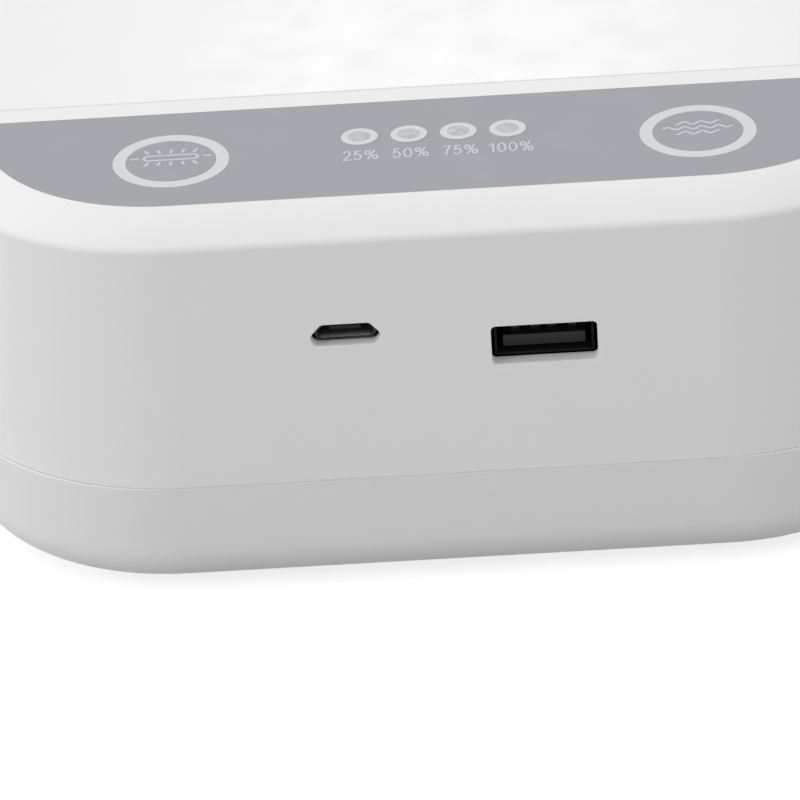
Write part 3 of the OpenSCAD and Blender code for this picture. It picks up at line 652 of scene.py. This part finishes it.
def board_material():
    """Green solder mask over tracks that run both ways."""
    n = Nodes("solder_mask", (0.012, 0.09, 0.035), 0.35, Coat_Weight=0.4)
    n.color_from(n.noise(300, 2, stretch=(1, 6, 1)), (0.009, 0.07, 0.028), (0.018, 0.12, 0.05))
    n.bump(n.noise(500, 2, stretch=(6, 1, 1)), 0.02 * MM)
    return n.material


def tape_material():
    """Yellow tape in layers round a coil."""
    n = Nodes("yellow_tape", (0.62, 0.44, 0.05), 0.4)
    n.color_from(n.noise(80, 4), (0.55, 0.38, 0.04), (0.66, 0.49, 0.07))
    n.bump(n.noise(400, 2, stretch=(1, 1, 6)), 0.05 * MM)
    return n.material


def ceramic_material():
    n = Nodes("fired_plate", (0.30, 0.11, 0.06), 0.7)
    n.color_from(n.noise(240, 5), (0.24, 0.08, 0.045), (0.36, 0.14, 0.08))
    n.bump(n.noise(900, 4), 0.03 * MM)
    return n.material


def build_materials():
    m = {}
    for key, (name, color, roughness, more) in PLASTICS.items():
        m[key] = moulded_plastic(name, color, roughness, **more)
    m["lens"] = lens_material()
    m["steel"] = steel_material()
    m["socket"] = socket_material()
    m["sheet"] = sheet_material()
    m["gold"] = gold_material()
    m["mirror"] = mirror_material()
    m["glass"] = glass_material()
    m["clear"] = clear_material()
    m["rubber"] = rubber_material()
    m["felt"] = felt_material()
    m["board"] = board_material()
    m["tape"] = tape_material()
    m["ceramic"] = ceramic_material()
    return m


# ---------------------------------------------------------------- the case
def shoulder():
    """(inset, z) of the shoulder: a small radius at the wall, then an arc that flattens to the deck."""
    edge_run = EDGE_R * (1 - math.sin(SHOULDER_A1))
    arc_r = (SHOULDER_W - edge_run) / (math.sin(SHOULDER_A1) - math.sin(SHOULDER_A0))
    arc_h = arc_r * (math.cos(SHOULDER_A0) - math.cos(SHOULDER_A1))
    wall_top = DECK_Z - arc_h - EDGE_R * math.cos(SHOULDER_A1)
    points = []
    for i in range(EDGE_STEPS + 1):
        t = UPRIGHT - (UPRIGHT - SHOULDER_A1) * i / EDGE_STEPS
        points.append((EDGE_R * (1 - math.sin(t)), wall_top + EDGE_R * math.cos(t)))
    for i in range(1, SHOULDER_STEPS + 1):
        t = SHOULDER_A1 - (SHOULDER_A1 - SHOULDER_A0) * i / SHOULDER_STEPS
        points.append((edge_run + arc_r * (math.sin(SHOULDER_A1) - math.sin(t)),
                       DECK_Z - arc_r * (math.cos(SHOULDER_A0) - math.cos(t))))
    return points


def top_form(z0):
    """The outside of case and lid, from z0 up."""
    return block([(0, z0)] + shoulder())


def case_form(z0):
    """The top form on a foot that stands back, which leaves a hair-thin groove over the seam."""
    return block([(GROOVE_IN, z0), (GROOVE_IN, z0 + GROOVE_H), (0, z0 + GROOVE_H)] + shoulder())


def top_hollow(z0):
    """The inside of case and lid, from z0 up."""
    wall_top = shoulder()[0][1]
    side = [(0, z0), (0, wall_top - HOLLOW_SLOPE), (SHOULDER_W - WALL + HOLLOW_SLOPE, CEILING_Z)]
    return block(side, CASE_W - 2 * WALL, CASE_L - 2 * WALL, CASE_R - WALL)


def basin(grow, z0, z1):
    """The chamber's form, grown by grow, with a rounded foot."""
    side = [(TRAY_DRAFT + TRAY_R * (1 - math.sin(a)), z0 + TRAY_R * (1 - math.cos(a)))
            for a in quarter(ARC_STEP)]
    return block(side + [(0, z1)], CHAMBER_W + 2 * grow, CHAMBER_L + 2 * grow, CHAMBER_R + grow,
                 CHAMBER_Y, CHAMBER_STEPS)


def rod(radius, length, x, steps):
    """A solid rod along the hinge's axis, centred on x."""
    side = [(0, -length / 2), (radius, -length / 2), (radius, length / 2), (0, length / 2)]
    return turned(side, steps, (x, HINGE_Y, LID_Z), lying=True)


def barrel(x, z_web, web_h):
    """A hinge barrel with the web that joins it to the wall."""
    lo = (x - BARREL_L / 2, BACK_Y - WALL, z_web)
    hi = (x + BARREL_L / 2, HINGE_Y, z_web + web_h)
    return plus(rod(HINGE_R, BARREL_L, x, HEAD_STEPS), cuboid(lo, hi))


def bore(x):
    """The hole through the three barrels of one hinge."""
    length = 3 * BARREL_L + 2 * (BARREL_GAP + EPS)
    return rod(PIN_R + PIN_PLAY, length, x, SHANK_STEPS)


def micro_outline(w, h):
    """The small socket's cut-out: narrow above and cut off at its lower corners."""
    right = [(0.44 * w, -h / 2), (0.5 * w, -0.25 * h), (0.5 * w, 0), (0.35 * w, h / 2)]
    return rounded_corners(right + [(-x, z) for x, z in right[::-1]], MICRO_CUT_R)


def port(outline, at):
    """A cut-out through the front wall, round at = (x, z)."""
    return prism(outline, FRONT_Y - EPS, FRONT_Y + WALL + 2 * EPS, at)


def screw_places(node):
    """The (x, y) of the four screws of a node."""
    lo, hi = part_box(node)
    return [(x, y) for x in (lo.x + HEAD_R, hi.x - HEAD_R) for y in (lo.y + HEAD_R, hi.y - HEAD_R)]


def foot_places():
    """The (x, y) of the four feet."""
    lo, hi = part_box("feet")
    return [(x, y) for x in (lo.x + FOOT_R, hi.x - FOOT_R) for y in (lo.y + FOOT_R, hi.y - FOOT_R)]


def bosses(obj, node, z0, z1):
    """Adds a bored boss over each screw of a node."""
    for at in screw_places(node):
        obj = plus(obj, disc(SHANK_R + BOSS_WALL, z0, z1, at, SHANK_STEPS))
        obj = minus(obj, disc(SHANK_R, z0 - EPS, z0 + BOSS_BORE, at, BORE_STEPS))
    return obj


def hollowed(case):
    """Takes out the inside, the lid's place, the hole for the tray and the panel's seat."""
    return minus(case,
                 both(top_hollow(SEAM_Z - EPS), ahead(LID_Y - WALL)),
                 slab(WALL, SEAM_Z - EPS, FLANGE_Z - LEDGE_T),
                 both(slab(-EPS, LID_Z, DECK_Z + EPS), behind(LID_Y)),
                 both(slab(WALL, FLANGE_Z, LID_Z + EPS), behind(LID_Y + WALL)),
                 basin(TRAY_T + TRAY_PLAY, SEAM_Z - TRAY_HOLE_H, FLANGE_Z + EPS),
                 both(slab(SHOULDER_W, PANEL_Z, DECK_Z + EPS), ahead(PANEL_BACK_Y)))


def pierced(case):
    """Makes the holes for the rings, the indicators and the sockets."""
    for x in BUTTON_X.values():
        case = minus(case, disc(RING_R + FIT, CEILING_Z - EPS, DECK_Z, (x, BUTTON_Y)))
    for x in LED_X:
        case = minus(case, disc(RIM_R + FIT, CEILING_Z - EPS, DECK_Z, (x, LED_Y), SHANK_STEPS))
    return minus(case,
                 port(rounded_outline(*USB_CUT, USB_CUT_R), (PORT_X, USB_Z)),
                 port(micro_outline(*MICRO_CUT), (-PORT_X, MICRO_Z)))


def hinged(case):
    """Adds the case's two barrels of each hinge, and bores them."""
    for x in (-HINGE_X, HINGE_X):
        for side in (-1, 1):
            case = plus(case, barrel(x + side * (BARREL_L + BARREL_GAP), LID_Z - HINGE_R, WEB_H))
        case = minus(case, bore(x))
    return case


def on_cut_out(c):
    high_enough = SEAM_Z + MM < c.z < DECK_Z - PORTS_TOP
    return near(c.y, FRONT_WALL_Y) and abs(c.x) < PORTS_W / 2 and high_enough


def on_deck_edge(c):
    return near(c.y, LID_Y) and c.z > DECK_Z - DECK_EDGE_H


def on_case_rim(c):
    return near(c.z, LID_Z) and LID_Y - MM < c.y < BACK_Y + MM


def build_upper_case(m):
    case = hinged(pierced(hollowed(case_form(SEAM_Z))))
    case = bosses(case, "board_screws", high("main_board").z, CEILING_Z + EPS)
    case = bosses(case, "case_screws", SEAM_Z, FLANGE_Z - LEDGE_T + EPS)
    tidy(case)
    soften(case, CUT_EDGE_R, on_cut_out)
    soften(case, DECK_EDGE_R, on_deck_edge)
    soften(case, RIM_EDGE_R, on_case_rim, 2)
    shade(case)
    piece(case, "upper_case_shell", "base", m["white"], ["upper_case"])


def build_bottom_shell(m):
    side = [(SHELL_DRAFT + BOTTOM_R * (1 - math.sin(a)), BASE_Z + BOTTOM_R * (1 - math.cos(a)))
            for a in quarter(BOTTOM_STEP)]
    side += [(inset, SEAM_Z - under) for inset, under in SEAM_EDGE]
    shell = block(side, BODY_W, BODY_L - 2 * SHELL_IN, SHELL_R)
    floor_z = BASE_Z + FLOOR_T
    inside = [(FLOOR_IN, floor_z), (SHELL_DRAFT, BASE_Z + BOTTOM_R), (0, SEAM_Z + EPS)]
    shell = minus(shell, block(inside, BODY_W - 2 * WALL, BODY_L - 2 * WALL, CORNER_R - WALL))
    for at in screw_places("case_screws"):
        column = disc(HEAD_HOLE_R + BOSS_WALL, floor_z - EPS, SEAM_Z - BOSS_SHORT, at, HEAD_STEPS)
        shell = plus(shell, column)
        shell = minus(shell, disc(HEAD_HOLE_R, 0, SEAM_Z - HEAD_SEAT, at, HEAD_STEPS))
        shell = minus(shell, disc(SHANK_R + FIT, 0, SEAM_Z, at, SHANK_STEPS))
    for at in foot_places():
        shell = minus(shell, disc(FOOT_HOLE_R, 0, BASE_Z + FOOT_SEAT, at))
    tidy(shell)
    soften(shell, BOTTOM_EDGE_R, lambda c: near(c.z, BASE_Z), 2)
    shade(shell)
    # Its white is darker than the case's: painted shade.
    piece(shell, "bottom_shell_moulding", "base", m["shell_white_painted_shade"], ["bottom_shell"])


def on_lid_front(c):
    return near(c.y, LID_SKIN_Y) and c.z > LID_Z + MM


def on_lid_rim(c):
    return near(c.z, LID_Z + RIM_GAP) and c.y < BACK_Y + MM


def build_lid(m):
    lid = both(top_form(LID_Z + RIM_GAP), behind(LID_SKIN_Y))
    lid = minus(lid, both(top_hollow(LID_Z), behind(LID_FRONT_Y + WALL)))
    for x in (-HINGE_X, HINGE_X):
        lid = plus(lid, barrel(x, LID_Z + RIM_GAP, HINGE_R - RIM_GAP))
        lid = minus(lid, bore(x))
    lid = bosses(lid, "liner_screws", low("lid_magnets").z, CEILING_Z - MM)
    tidy(lid)
    soften(lid, LID_EDGE_R, on_lid_front)
    soften(lid, RIM_EDGE_R, on_lid_rim, 2)
    shade(lid)
    piece(lid, "lid_moulding", "lid", m["lid_white"], ["lid_shell"])


# ---------------------------------------------------------------- the control panel
def build_panel(m):
    panel = both(slab(SHOULDER_W, PANEL_Z, FACE_Z), ahead(PANEL_BACK_Y))
    for x in BUTTON_X.values():
        panel = minus(panel, disc(RING_R, PANEL_Z - EPS, DECK_Z, (x, BUTTON_Y), RING_STEPS))
    for x in LED_X:
        panel = minus(panel, disc(RIM_R, PANEL_Z - EPS, DECK_Z, (x, LED_Y), HEAD_STEPS))
    tidy(panel)
    shade(panel)
    piece(panel, "panel_overlay", "base", m["panel"], ["control_panel"])


def build_ring(m, key, x):
    """A milky ring in the panel, on a flange under the deck."""
    foot_z = low(key + "_light_ring").z
    flange_r = RING_R + RING_FLANGE_W
    side = [(RING_ID_R, foot_z), (flange_r, foot_z), (flange_r, CEILING_Z), (RING_R, CEILING_Z),
            (RING_R, FACE_Z - FACE_EDGE), (RING_R - FACE_EDGE, FACE_Z),
            (RING_ID_R + FACE_EDGE, FACE_Z), (RING_ID_R, FACE_Z - FACE_EDGE)]
    ring = shade(turned(side, RING_STEPS, (x, BUTTON_Y, 0)))
    piece(ring, key + "_ring_light", "base", m["milk"], [key + "_light_ring"])


def build_key_cap(m, key, x):
    """A hollow key with a skirt that holds it under the ring, and a stem on its switch's plunger."""
    skirt_t = 1.1 * MM
    skirt_gap = 0.2 * MM
    top_t = 1.4 * MM
    wall_t = 1.2 * MM
    stem_r = 1.5 * MM
    skirt_r = KEY_R + KEY_SKIRT_W
    skirt_z = low(key + "_light_ring").z - skirt_gap
    stem_z = high(key + "_switch_plunger").z
    side = [(0, stem_z), (stem_r, stem_z), (stem_r, FACE_Z - top_t), (KEY_R - wall_t, FACE_Z - top_t),
            (KEY_R - wall_t, skirt_z - skirt_t), (skirt_r, skirt_z - skirt_t), (skirt_r, skirt_z),
            (KEY_R, skirt_z), (KEY_R, FACE_Z - FACE_EDGE), (KEY_R - FACE_EDGE, FACE_Z), (0, FACE_Z)]
    cap = shade(turned(side, RING_STEPS, (x, BUTTON_Y, 0)))
    piece(cap, key + "_key_cap", key + "_key", m["panel"], [key + "_button"])


def build_buttons(m):
    for key, x in BUTTON_X.items():
        build_ring(m, key, x)
        build_key_cap(m, key, x)


def build_indicators(m):
    """Four rims that stand a hair over the deck, each round a domed lens."""
    pipe_z = low("indicator_lenses").z
    under_deck = 0.4 * MM
    foot_z = CEILING_Z - under_deck
    rim_z = FACE_Z + RIM_PROUD
    lens_z = rim_z - FACE_EDGE
    dome_h = 0.08 * MM
    rim_side = [(LENS_R, foot_z), (RIM_R, foot_z), (RIM_R, lens_z), (RIM_R - FACE_EDGE, rim_z),
                (LENS_R + FACE_EDGE, rim_z), (LENS_R, lens_z)]
    lens_side = [(0, pipe_z), (LENS_R, pipe_z)]
    lens_side += [(LENS_R * math.cos(a), lens_z + dome_h * math.sin(a)) for a in quarter(ARC_STEP)[:-1]]
    lens_side += [(0, lens_z + dome_h)]
    for x, name in zip(LED_X, ["25", "50", "75", "100"]):
        first = name == "25"
        rim = shade(turned(rim_side, HEAD_STEPS, (x, LED_Y, 0)))
        piece(rim, "indicator_rim_" + name, "base", m["milk"],
              ["indicator_rims"] if first else ())
        lens = shade(turned(lens_side, HEAD_STEPS, (x, LED_Y, 0)), SOFT_ANGLE)
        piece(lens, "indicator_lens_" + name, "base", m["lens"],
              ["indicator_lenses"] if first else ())


# ---------------------------------------------------------------- the ink on the panel and the keys
INK_T = 0.03 * MM
INK_LIFT = 0.003 * MM  # every other stroke stands this much higher, so that two never share a plane
NUMBER_W = 0.27 * MM
PICTOGRAM_W = 0.35 * MM
BOW_STEPS = 16
END_STEPS = 8
MITRE_MIN = 0.4


def bow(cx, cy, rx, ry, start=0, end=360):
    """Points of an arc of an ellipse from one angle in degrees to another."""
    turn = [math.radians(start + (end - start) * k / BOW_STEPS) for k in range(BOW_STEPS + 1)]
    return [(cx + rx * math.cos(a), cy + ry * math.sin(a)) for a in turn]


def loop(cx, cy, rx, ry):
    """Points of a whole ellipse, with none twice."""
    return bow(cx, cy, rx, ry)[:-1]


# Each sign is (width, open strokes, closed strokes), for a height of 1
SIGNS = {
    "0": (0.74, [], [loop(0.37, 0.5, 0.37, 0.5)]),
    "1": (0.46, [[(0.0, 0.76), (0.2, 0.84), (0.36, 0.98)], [(0.36, 1.0), (0.36, 0.0)]], []),
    "2": (0.66, [bow(0.33, 0.73, 0.31, 0.27, 165, -25) + [(0.03, 0.02)], [(0.0, 0.0), (0.66, 0.0)]], []),
    "5": (0.66, [[(0.6, 1.0), (0.14, 1.0), (0.06, 0.52)], bow(0.32, 0.33, 0.33, 0.33, 148, -152)], []),
    "7": (0.64, [[(0.0, 1.0), (0.64, 1.0), (0.42, 0.66), (0.28, 0.34), (0.22, 0.0)]], []),
    "%": (1.22, [[(0.92, 1.0), (0.3, 0.0)]], [loop(0.24, 0.77, 0.22, 0.23), loop(0.98, 0.23, 0.22, 0.23)]),
}
SIGN_GAP = 0.4

# Each number under an indicator, with its width and how far it stands to the right, in mm
NUMBERS = [("25%", 4.46, 0.07), ("50%", 4.5, 0.11), ("75%", 4.37, 0.15), ("100%", 5.57, 0.25)]
NUMBER_H = 2.62 * MM
NUMBER_Y = BUTTON_Y - 1.5 * MM


def round_end(bm, centre, side, a, b):
    """Adds half a disc from corner a to corner b of a stroke's end."""
    turns = [Matrix.Rotation(math.pi * k / END_STEPS, 3, "Z") for k in range(1, END_STEPS)]
    bm.faces.new([a] + [bm.verts.new(centre + turn @ side) for turn in turns] + [b])


def stroke(bm, points, closed, z, width):
    """Adds a flat stroke along points, with mitred bends and round ends."""
    n = len(points)
    points = [Vector((x, y, z)) for x, y in points]
    ways = [(points[(i + 1) % n] - points[i]).normalized() for i in range(n)]
    if not closed:
        ways[-1] = ways[-2]
    pairs = []
    sides = []
    for i, p in enumerate(points):
        before = ways[i - 1] if closed or i else ways[0]
        along = (before + ways[i]).normalized()
        side = Vector((-along.y, along.x, 0)) * width / 2 / max(along.dot(before), MITRE_MIN)
        sides.append(side)
        pairs.append((bm.verts.new(p + side), bm.verts.new(p - side)))
    for i in range(n if closed else n - 1):
        (a, b), (c, d) = pairs[i], pairs[(i + 1) % n]
        bm.faces.new((b, d, c, a))
    if not closed:
        round_end(bm, points[0], sides[0], *pairs[0])
        round_end(bm, points[-1], -sides[-1], *pairs[-1][::-1])


def ink(name, lines, loops, width, body, material):
    """Thin ink on a face: open lines and closed loops, each a list of points."""
    bm = bmesh.new()
    for k, points in enumerate(lines + loops):
        stroke(bm, points, k >= len(lines), FACE_Z + k % 2 * INK_LIFT, width)
    made = bmesh.ops.extrude_face_region(bm, geom=list(bm.faces))
    lifted = [g for g in made["geom"] if isinstance(g, bmesh.types.BMVert)]
    bmesh.ops.translate(bm, vec=(0, 0, INK_T), verts=lifted)
    piece(new_object(name, bm), name, body, material)


def build_number(m, word, width, centre):
    """A plain number, width over all."""
    total = sum(SIGNS[c][0] for c in word) + SIGN_GAP * (len(word) - 1)
    across, up = (width - NUMBER_W) / total, NUMBER_H - NUMBER_W

    def place(points, start):
        left = start - total / 2
        return [(centre[0] + (x + left) * across, centre[1] + (y - 0.5) * up) for x, y in points]

    lines, loops = [], []
    start = 0
    for c in word:
        sign_w, opened, closed = SIGNS[c]
        lines += [place(points, start) for points in opened]
        loops += [place(points, start) for points in closed]
        start += sign_w + SIGN_GAP
    ink("mark_" + word[:-1], lines, loops, NUMBER_W, "base", m["ink"])


def build_numbers(m):
    for x, (word, width, aside) in zip(LED_X, NUMBERS):
        build_number(m, word, width * MM, (x + aside * MM, NUMBER_Y))


PICTOGRAM_Y = BUTTON_Y + 0.9 * MM


def build_uv_mark(m):
    """A lamp tube, with rays above, below and beside it."""
    x = BUTTON_X["uv"]
    half, tube_r = 2.7 * MM, 0.62 * MM
    ray_pitch, ray_lean = 1.4 * MM, 0.2 * MM
    ray_near, ray_far = 1.3 * MM, 2.0 * MM
    end_near, end_far = half + 1.4 * MM, half + 2.2 * MM
    y = PICTOGRAM_Y
    tube = bow(x + half, y, tube_r, tube_r, -90, 90) + bow(x - half, y, tube_r, tube_r, 90, 270)
    rays = []
    for s in (-1, 1):
        for k in range(-2, 3):
            foot = x + k * ray_pitch
            rays.append([(foot, y + s * ray_near), (foot + k * ray_lean, y + s * ray_far)])
        rays.append([(x + s * end_near, y), (x + s * end_far, y)])
    ink("uv_mark", rays, [tube], PICTOGRAM_W, "uv_key", m["ink"])


def build_scent_mark(m):
    """Three wavy lines, the middle one longer."""
    x = BUTTON_X["scent"]
    wave_h, wave_l, steps = 0.36 * MM, 2.1 * MM, 48
    row_gap, short, long = 1.35 * MM, 2.6 * MM, 4.2 * MM
    waves = []
    for row, span in ((row_gap, short), (0, long), (-row_gap, short)):
        runs = [span * (2 * k / steps - 1) for k in range(steps + 1)]
        rise = [wave_h * math.sin(math.tau * run / wave_l) for run in runs]
        waves.append([(x + run, PICTOGRAM_Y + row + up) for run, up in zip(runs, rise)])
    ink("scent_mark", waves, [], PICTOGRAM_W, "scent_key", m["ink"])


# ---------------------------------------------------------------- the soft pad in the scent cup
PAD_STEPS = 72


def build_scent_pad(m):
    """A crowned felt disc with a loose, uneven face."""
    lo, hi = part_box("scent_pad")
    centre = (lo + hi) / 2
    r, roll = (hi.x - lo.x) / 2, 0.9 * MM
    crown, crown_steps = 0.5 * MM, 8
    uneven, lump = 0.12 * MM, 1.3 * MM
    flat_r = r - roll
    shoulder_z = hi.z - crown
    side = [(0, lo.z)]
    side += [(flat_r + roll * math.sin(a), lo.z + roll * (1 - math.cos(a))) for a in quarter(ARC_STEP)]
    side += [(flat_r + roll * math.cos(a), shoulder_z - roll * (1 - math.sin(a))) for a in quarter(ARC_STEP)]
    for k in range(1, crown_steps + 1):
        out = 1 - k / crown_steps
        side.append((flat_r * out, hi.z - uneven - crown * out ** 2))
    pad = turned(side, PAD_STEPS, (centre.x, centre.y, 0))
    for v in pad.data.vertices:
        if v.co.z > centre.z:
            v.co.z += uneven * noise.noise(v.co / lump)
    shade(pad, SOFT_ANGLE)
    piece(pad, "scent_felt", "base", m["felt"], ["scent_pad"])


# ---------------------------------------------------------------- CAD nodes that keep their shape
WELD_D = 0.001 * MM
BEVEL_ANGLE = 40
BEVEL_STEPS = 2

# Each node's material and the width of its rounded edges, in mm
LOOKS = {
    "usb_socket_shell": ("socket", 0), "usb_socket_tongue": ("dark_grey", 0.06),
    "usb_socket_contacts": ("gold", 0),
    "micro_socket_shell": ("sheet", 0), "micro_socket_tongue": ("dark_grey", 0.04),
    "main_board": ("board", 0), "board_screws": ("steel", 0.1), "control_chip": ("black", 0.1),
    "uv_switch": ("black", 0.1), "uv_switch_plunger": ("steel", 0.1),
    "scent_switch": ("black", 0.1), "scent_switch_plunger": ("steel", 0.1),
    "indicator_leds": ("milk", 0.05), "ring_leds": ("milk", 0.05), "reed_sensor": ("glass", 0),
    "chamber_tray": ("mirror", 0), "lid_seal": ("rubber", 0.2), "phone_rails": ("clear", 0.3),
    "base_lamp": ("glass", 0.2), "base_lamp_holders": ("inner_white", 0.3),
    "scent_cup": ("inner_white", 0.2), "scent_cap": ("inner_white", 0.15), "scent_heater": ("ceramic", 0.1),
    "driver_board": ("board", 0), "driver_transformer": ("tape", 0.4), "driver_capacitors": ("black", 0.3),
    "driver_screws": ("steel", 0.1), "ribbon_cable": ("inner_white", 0),
    "case_screws": ("steel", 0.1), "feet": ("rubber", 0.25), "hinge_pins": ("steel", 0.1),
    "lid_liner": ("mirror", 0), "lid_lamp": ("glass", 0.2), "lid_lamp_holders": ("inner_white", 0.3),
    "lid_magnets": ("steel", 0.2), "liner_screws": ("steel", 0.1),
}


def dress(obj, material, round_by):
    """Gives a CAD node its look. Its mesh stays as it is: the rounding and the normals are modifiers."""
    obj.data.materials.clear()
    obj.data.materials.append(material)
    for polygon in obj.data.polygons:
        polygon.use_smooth = True
    weld = obj.modifiers.new("weld", "WELD")
    weld.merge_threshold = WELD_D
    if round_by:
        bevel = obj.modifiers.new("bevel", "BEVEL")
        bevel.width = round_by
        bevel.segments = BEVEL_STEPS
        bevel.limit_method = "ANGLE"
        bevel.angle_limit = math.radians(BEVEL_ANGLE)
    split = obj.modifiers.new("split", "EDGE_SPLIT")
    split.split_angle = math.radians(SMOOTH_ANGLE)
    normals = obj.modifiers.new("normals", "WEIGHTED_NORMAL")
    normals.keep_sharp = True


def dress_all(m):
    for node, (key, round_by) in LOOKS.items():
        dress(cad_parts[node], m[key], round_by * MM)


# ---------------------------------------------------------------- stage, light and camera
# The photograph's camera: a long lens, nearly square to the front wall, looking down, with a slight roll
CAMERA_LENS = 292.5
CAMERA_SENSOR = 36.0
CAMERA_ELEVATION = math.radians(28.50)
CAMERA_YAW = math.radians(0.64)
CAMERA_ROLL = math.radians(3.563)
CAMERA_DISTANCE = 743.05 * MM
CLIP_START = 0.01
CLIP_END = 50
LOOK_AT = Vector((-5.43 * MM, BUTTON_Y - 65.07 * MM, DECK_Z))


def build_camera():
    data = bpy.data.cameras.new("camera")
    data.lens = CAMERA_LENS
    data.sensor_width = CAMERA_SENSOR
    data.clip_start = CLIP_START
    data.clip_end = CLIP_END
    e, y, r = CAMERA_ELEVATION, CAMERA_YAW, CAMERA_ROLL
    back = Vector((math.sin(y) * math.cos(e), -math.cos(y) * math.cos(e), math.sin(e)))
    right = Vector((math.cos(y), math.sin(y), 0))
    up = back.cross(right)
    across = right * math.cos(r) - up * math.sin(r)
    upward = up * math.cos(r) + right * math.sin(r)
    cam = bpy.data.objects.new("camera", data)
    bpy.context.scene.collection.objects.link(cam)
    turn = Matrix((across, upward, back)).transposed().to_4x4()
    cam.matrix_world = Matrix.Translation(LOOK_AT + back * CAMERA_DISTANCE) @ turn
    bpy.context.scene.camera = cam


# Each light's name, place and size in metres, and power in watts
LIGHTS = [
    ("above", (0.0, 0.25, 1.5), (1.8, 1.8), 3.9),
    ("left", (-1.3, -0.55, 0.55), (0.9, 0.7), 5.2),
    ("right", (1.3, -0.55, 0.55), (0.9, 0.7), 0.6),
    ("back_left", (-1.2, 0.8, 0.8), (0.9, 0.9), 3.0),
    ("lid_shine", (0.0, 1.6, 0.93), (0.22, 0.22), 0.37),
]
LIT_POINT = Vector((0, 0, 0.03))


def area_light(name, at, size, power):
    """A soft light that looks at the middle of the object."""
    data = bpy.data.lights.new(name, "AREA")
    data.shape = "RECTANGLE"
    data.size, data.size_y = size
    data.energy = power
    obj = bpy.data.objects.new(name, data)
    obj.location = at
    obj.rotation_mode = "QUATERNION"
    obj.rotation_quaternion = (LIT_POINT - Vector(at)).to_track_quat("-Z", "Y")
    bpy.context.scene.collection.objects.link(obj)


# The world shows brighter than it lights, and the floor glows only where it is seen
WORLD_LIGHT = 0.72
WORLD_SEEN = 1.0
FLOOR_GREY = (0.45, 0.45, 0.45, 1)
FLOOR_SEEN = 0.76
FLOOR_HALF = 4  # metres
SEEN_RAYS = ["Is Camera Ray", "Is Glossy Ray", "Is Transmission Ray"]


def is_seen(tree):
    """1 for rays that show a surface, and 0 for those that only carry its light to others."""
    path = tree.nodes.new("ShaderNodeLightPath")
    value = path.outputs[SEEN_RAYS[0]]
    for name in SEEN_RAYS[1:]:
        node = tree.nodes.new("ShaderNodeMath")
        node.operation = "MAXIMUM"
        tree.links.new(value, node.inputs[0])
        tree.links.new(path.outputs[name], node.inputs[1])
        value = node.outputs[0]
    return value


def two_faced(tree, lighting, seen, surface):
    """Sends one shader to rays that light things, and another to rays that show them."""
    mix = tree.nodes.new("ShaderNodeMixShader")
    tree.links.new(is_seen(tree), mix.inputs[0])
    tree.links.new(lighting.outputs[0], mix.inputs[1])
    tree.links.new(seen.outputs[0], mix.inputs[2])
    tree.links.new(mix.outputs[0], surface)


def background(tree, strength):
    node = tree.nodes.new("ShaderNodeBackground")
    node.inputs["Strength"].default_value = strength
    node.inputs["Color"].default_value = (1, 1, 1, 1)
    return node


def build_world():
    world = bpy.data.worlds.new("studio")
    bpy.context.scene.world = world
    world.use_nodes = True
    tree = world.node_tree
    tree.nodes.clear()
    out = tree.nodes.new("ShaderNodeOutputWorld")
    two_faced(tree, background(tree, WORLD_LIGHT), background(tree, WORLD_SEEN), out.inputs["Surface"])


def floor_material():
    """A matt grey that glows to the camera, so the floor shows pale without lighting the object."""
    material = bpy.data.materials.new("floor")
    material.use_nodes = True
    tree = material.node_tree
    matt = tree.nodes["Principled BSDF"]
    matt.inputs["Base Color"].default_value = FLOOR_GREY
    matt.inputs["Roughness"].default_value = 0.9
    matt.inputs["Specular IOR Level"].default_value = 0.1
    glow = tree.nodes.new("ShaderNodeEmission")
    glow.inputs["Strength"].default_value = FLOOR_SEEN
    add = tree.nodes.new("ShaderNodeAddShader")
    tree.links.new(matt.outputs[0], add.inputs[0])
    tree.links.new(glow.outputs[0], add.inputs[1])
    two_faced(tree, matt, add, tree.nodes["Material Output"].inputs["Surface"])
    return material


def build_floor():
    bm = bmesh.new()
    bmesh.ops.create_grid(bm, x_segments=2, y_segments=2, size=FLOOR_HALF)
    floor = new_object("floor", bm)
    floor.data.materials.append(floor_material())


def build_stage():
    build_world()
    build_floor()
    for light in LIGHTS:
        area_light(*light)


# ---------------------------------------------------------------- the whole scene
bpy.context.scene.view_settings.view_transform = "Standard"
build_camera()
build_stage()
materials = build_materials()
build_upper_case(materials)
build_bottom_shell(materials)
build_lid(materials)
build_panel(materials)
build_buttons(materials)
build_indicators(materials)
build_numbers(materials)
build_uv_mark(materials)
build_scent_mark(materials)
build_scent_pad(materials)
dress_all(materials)
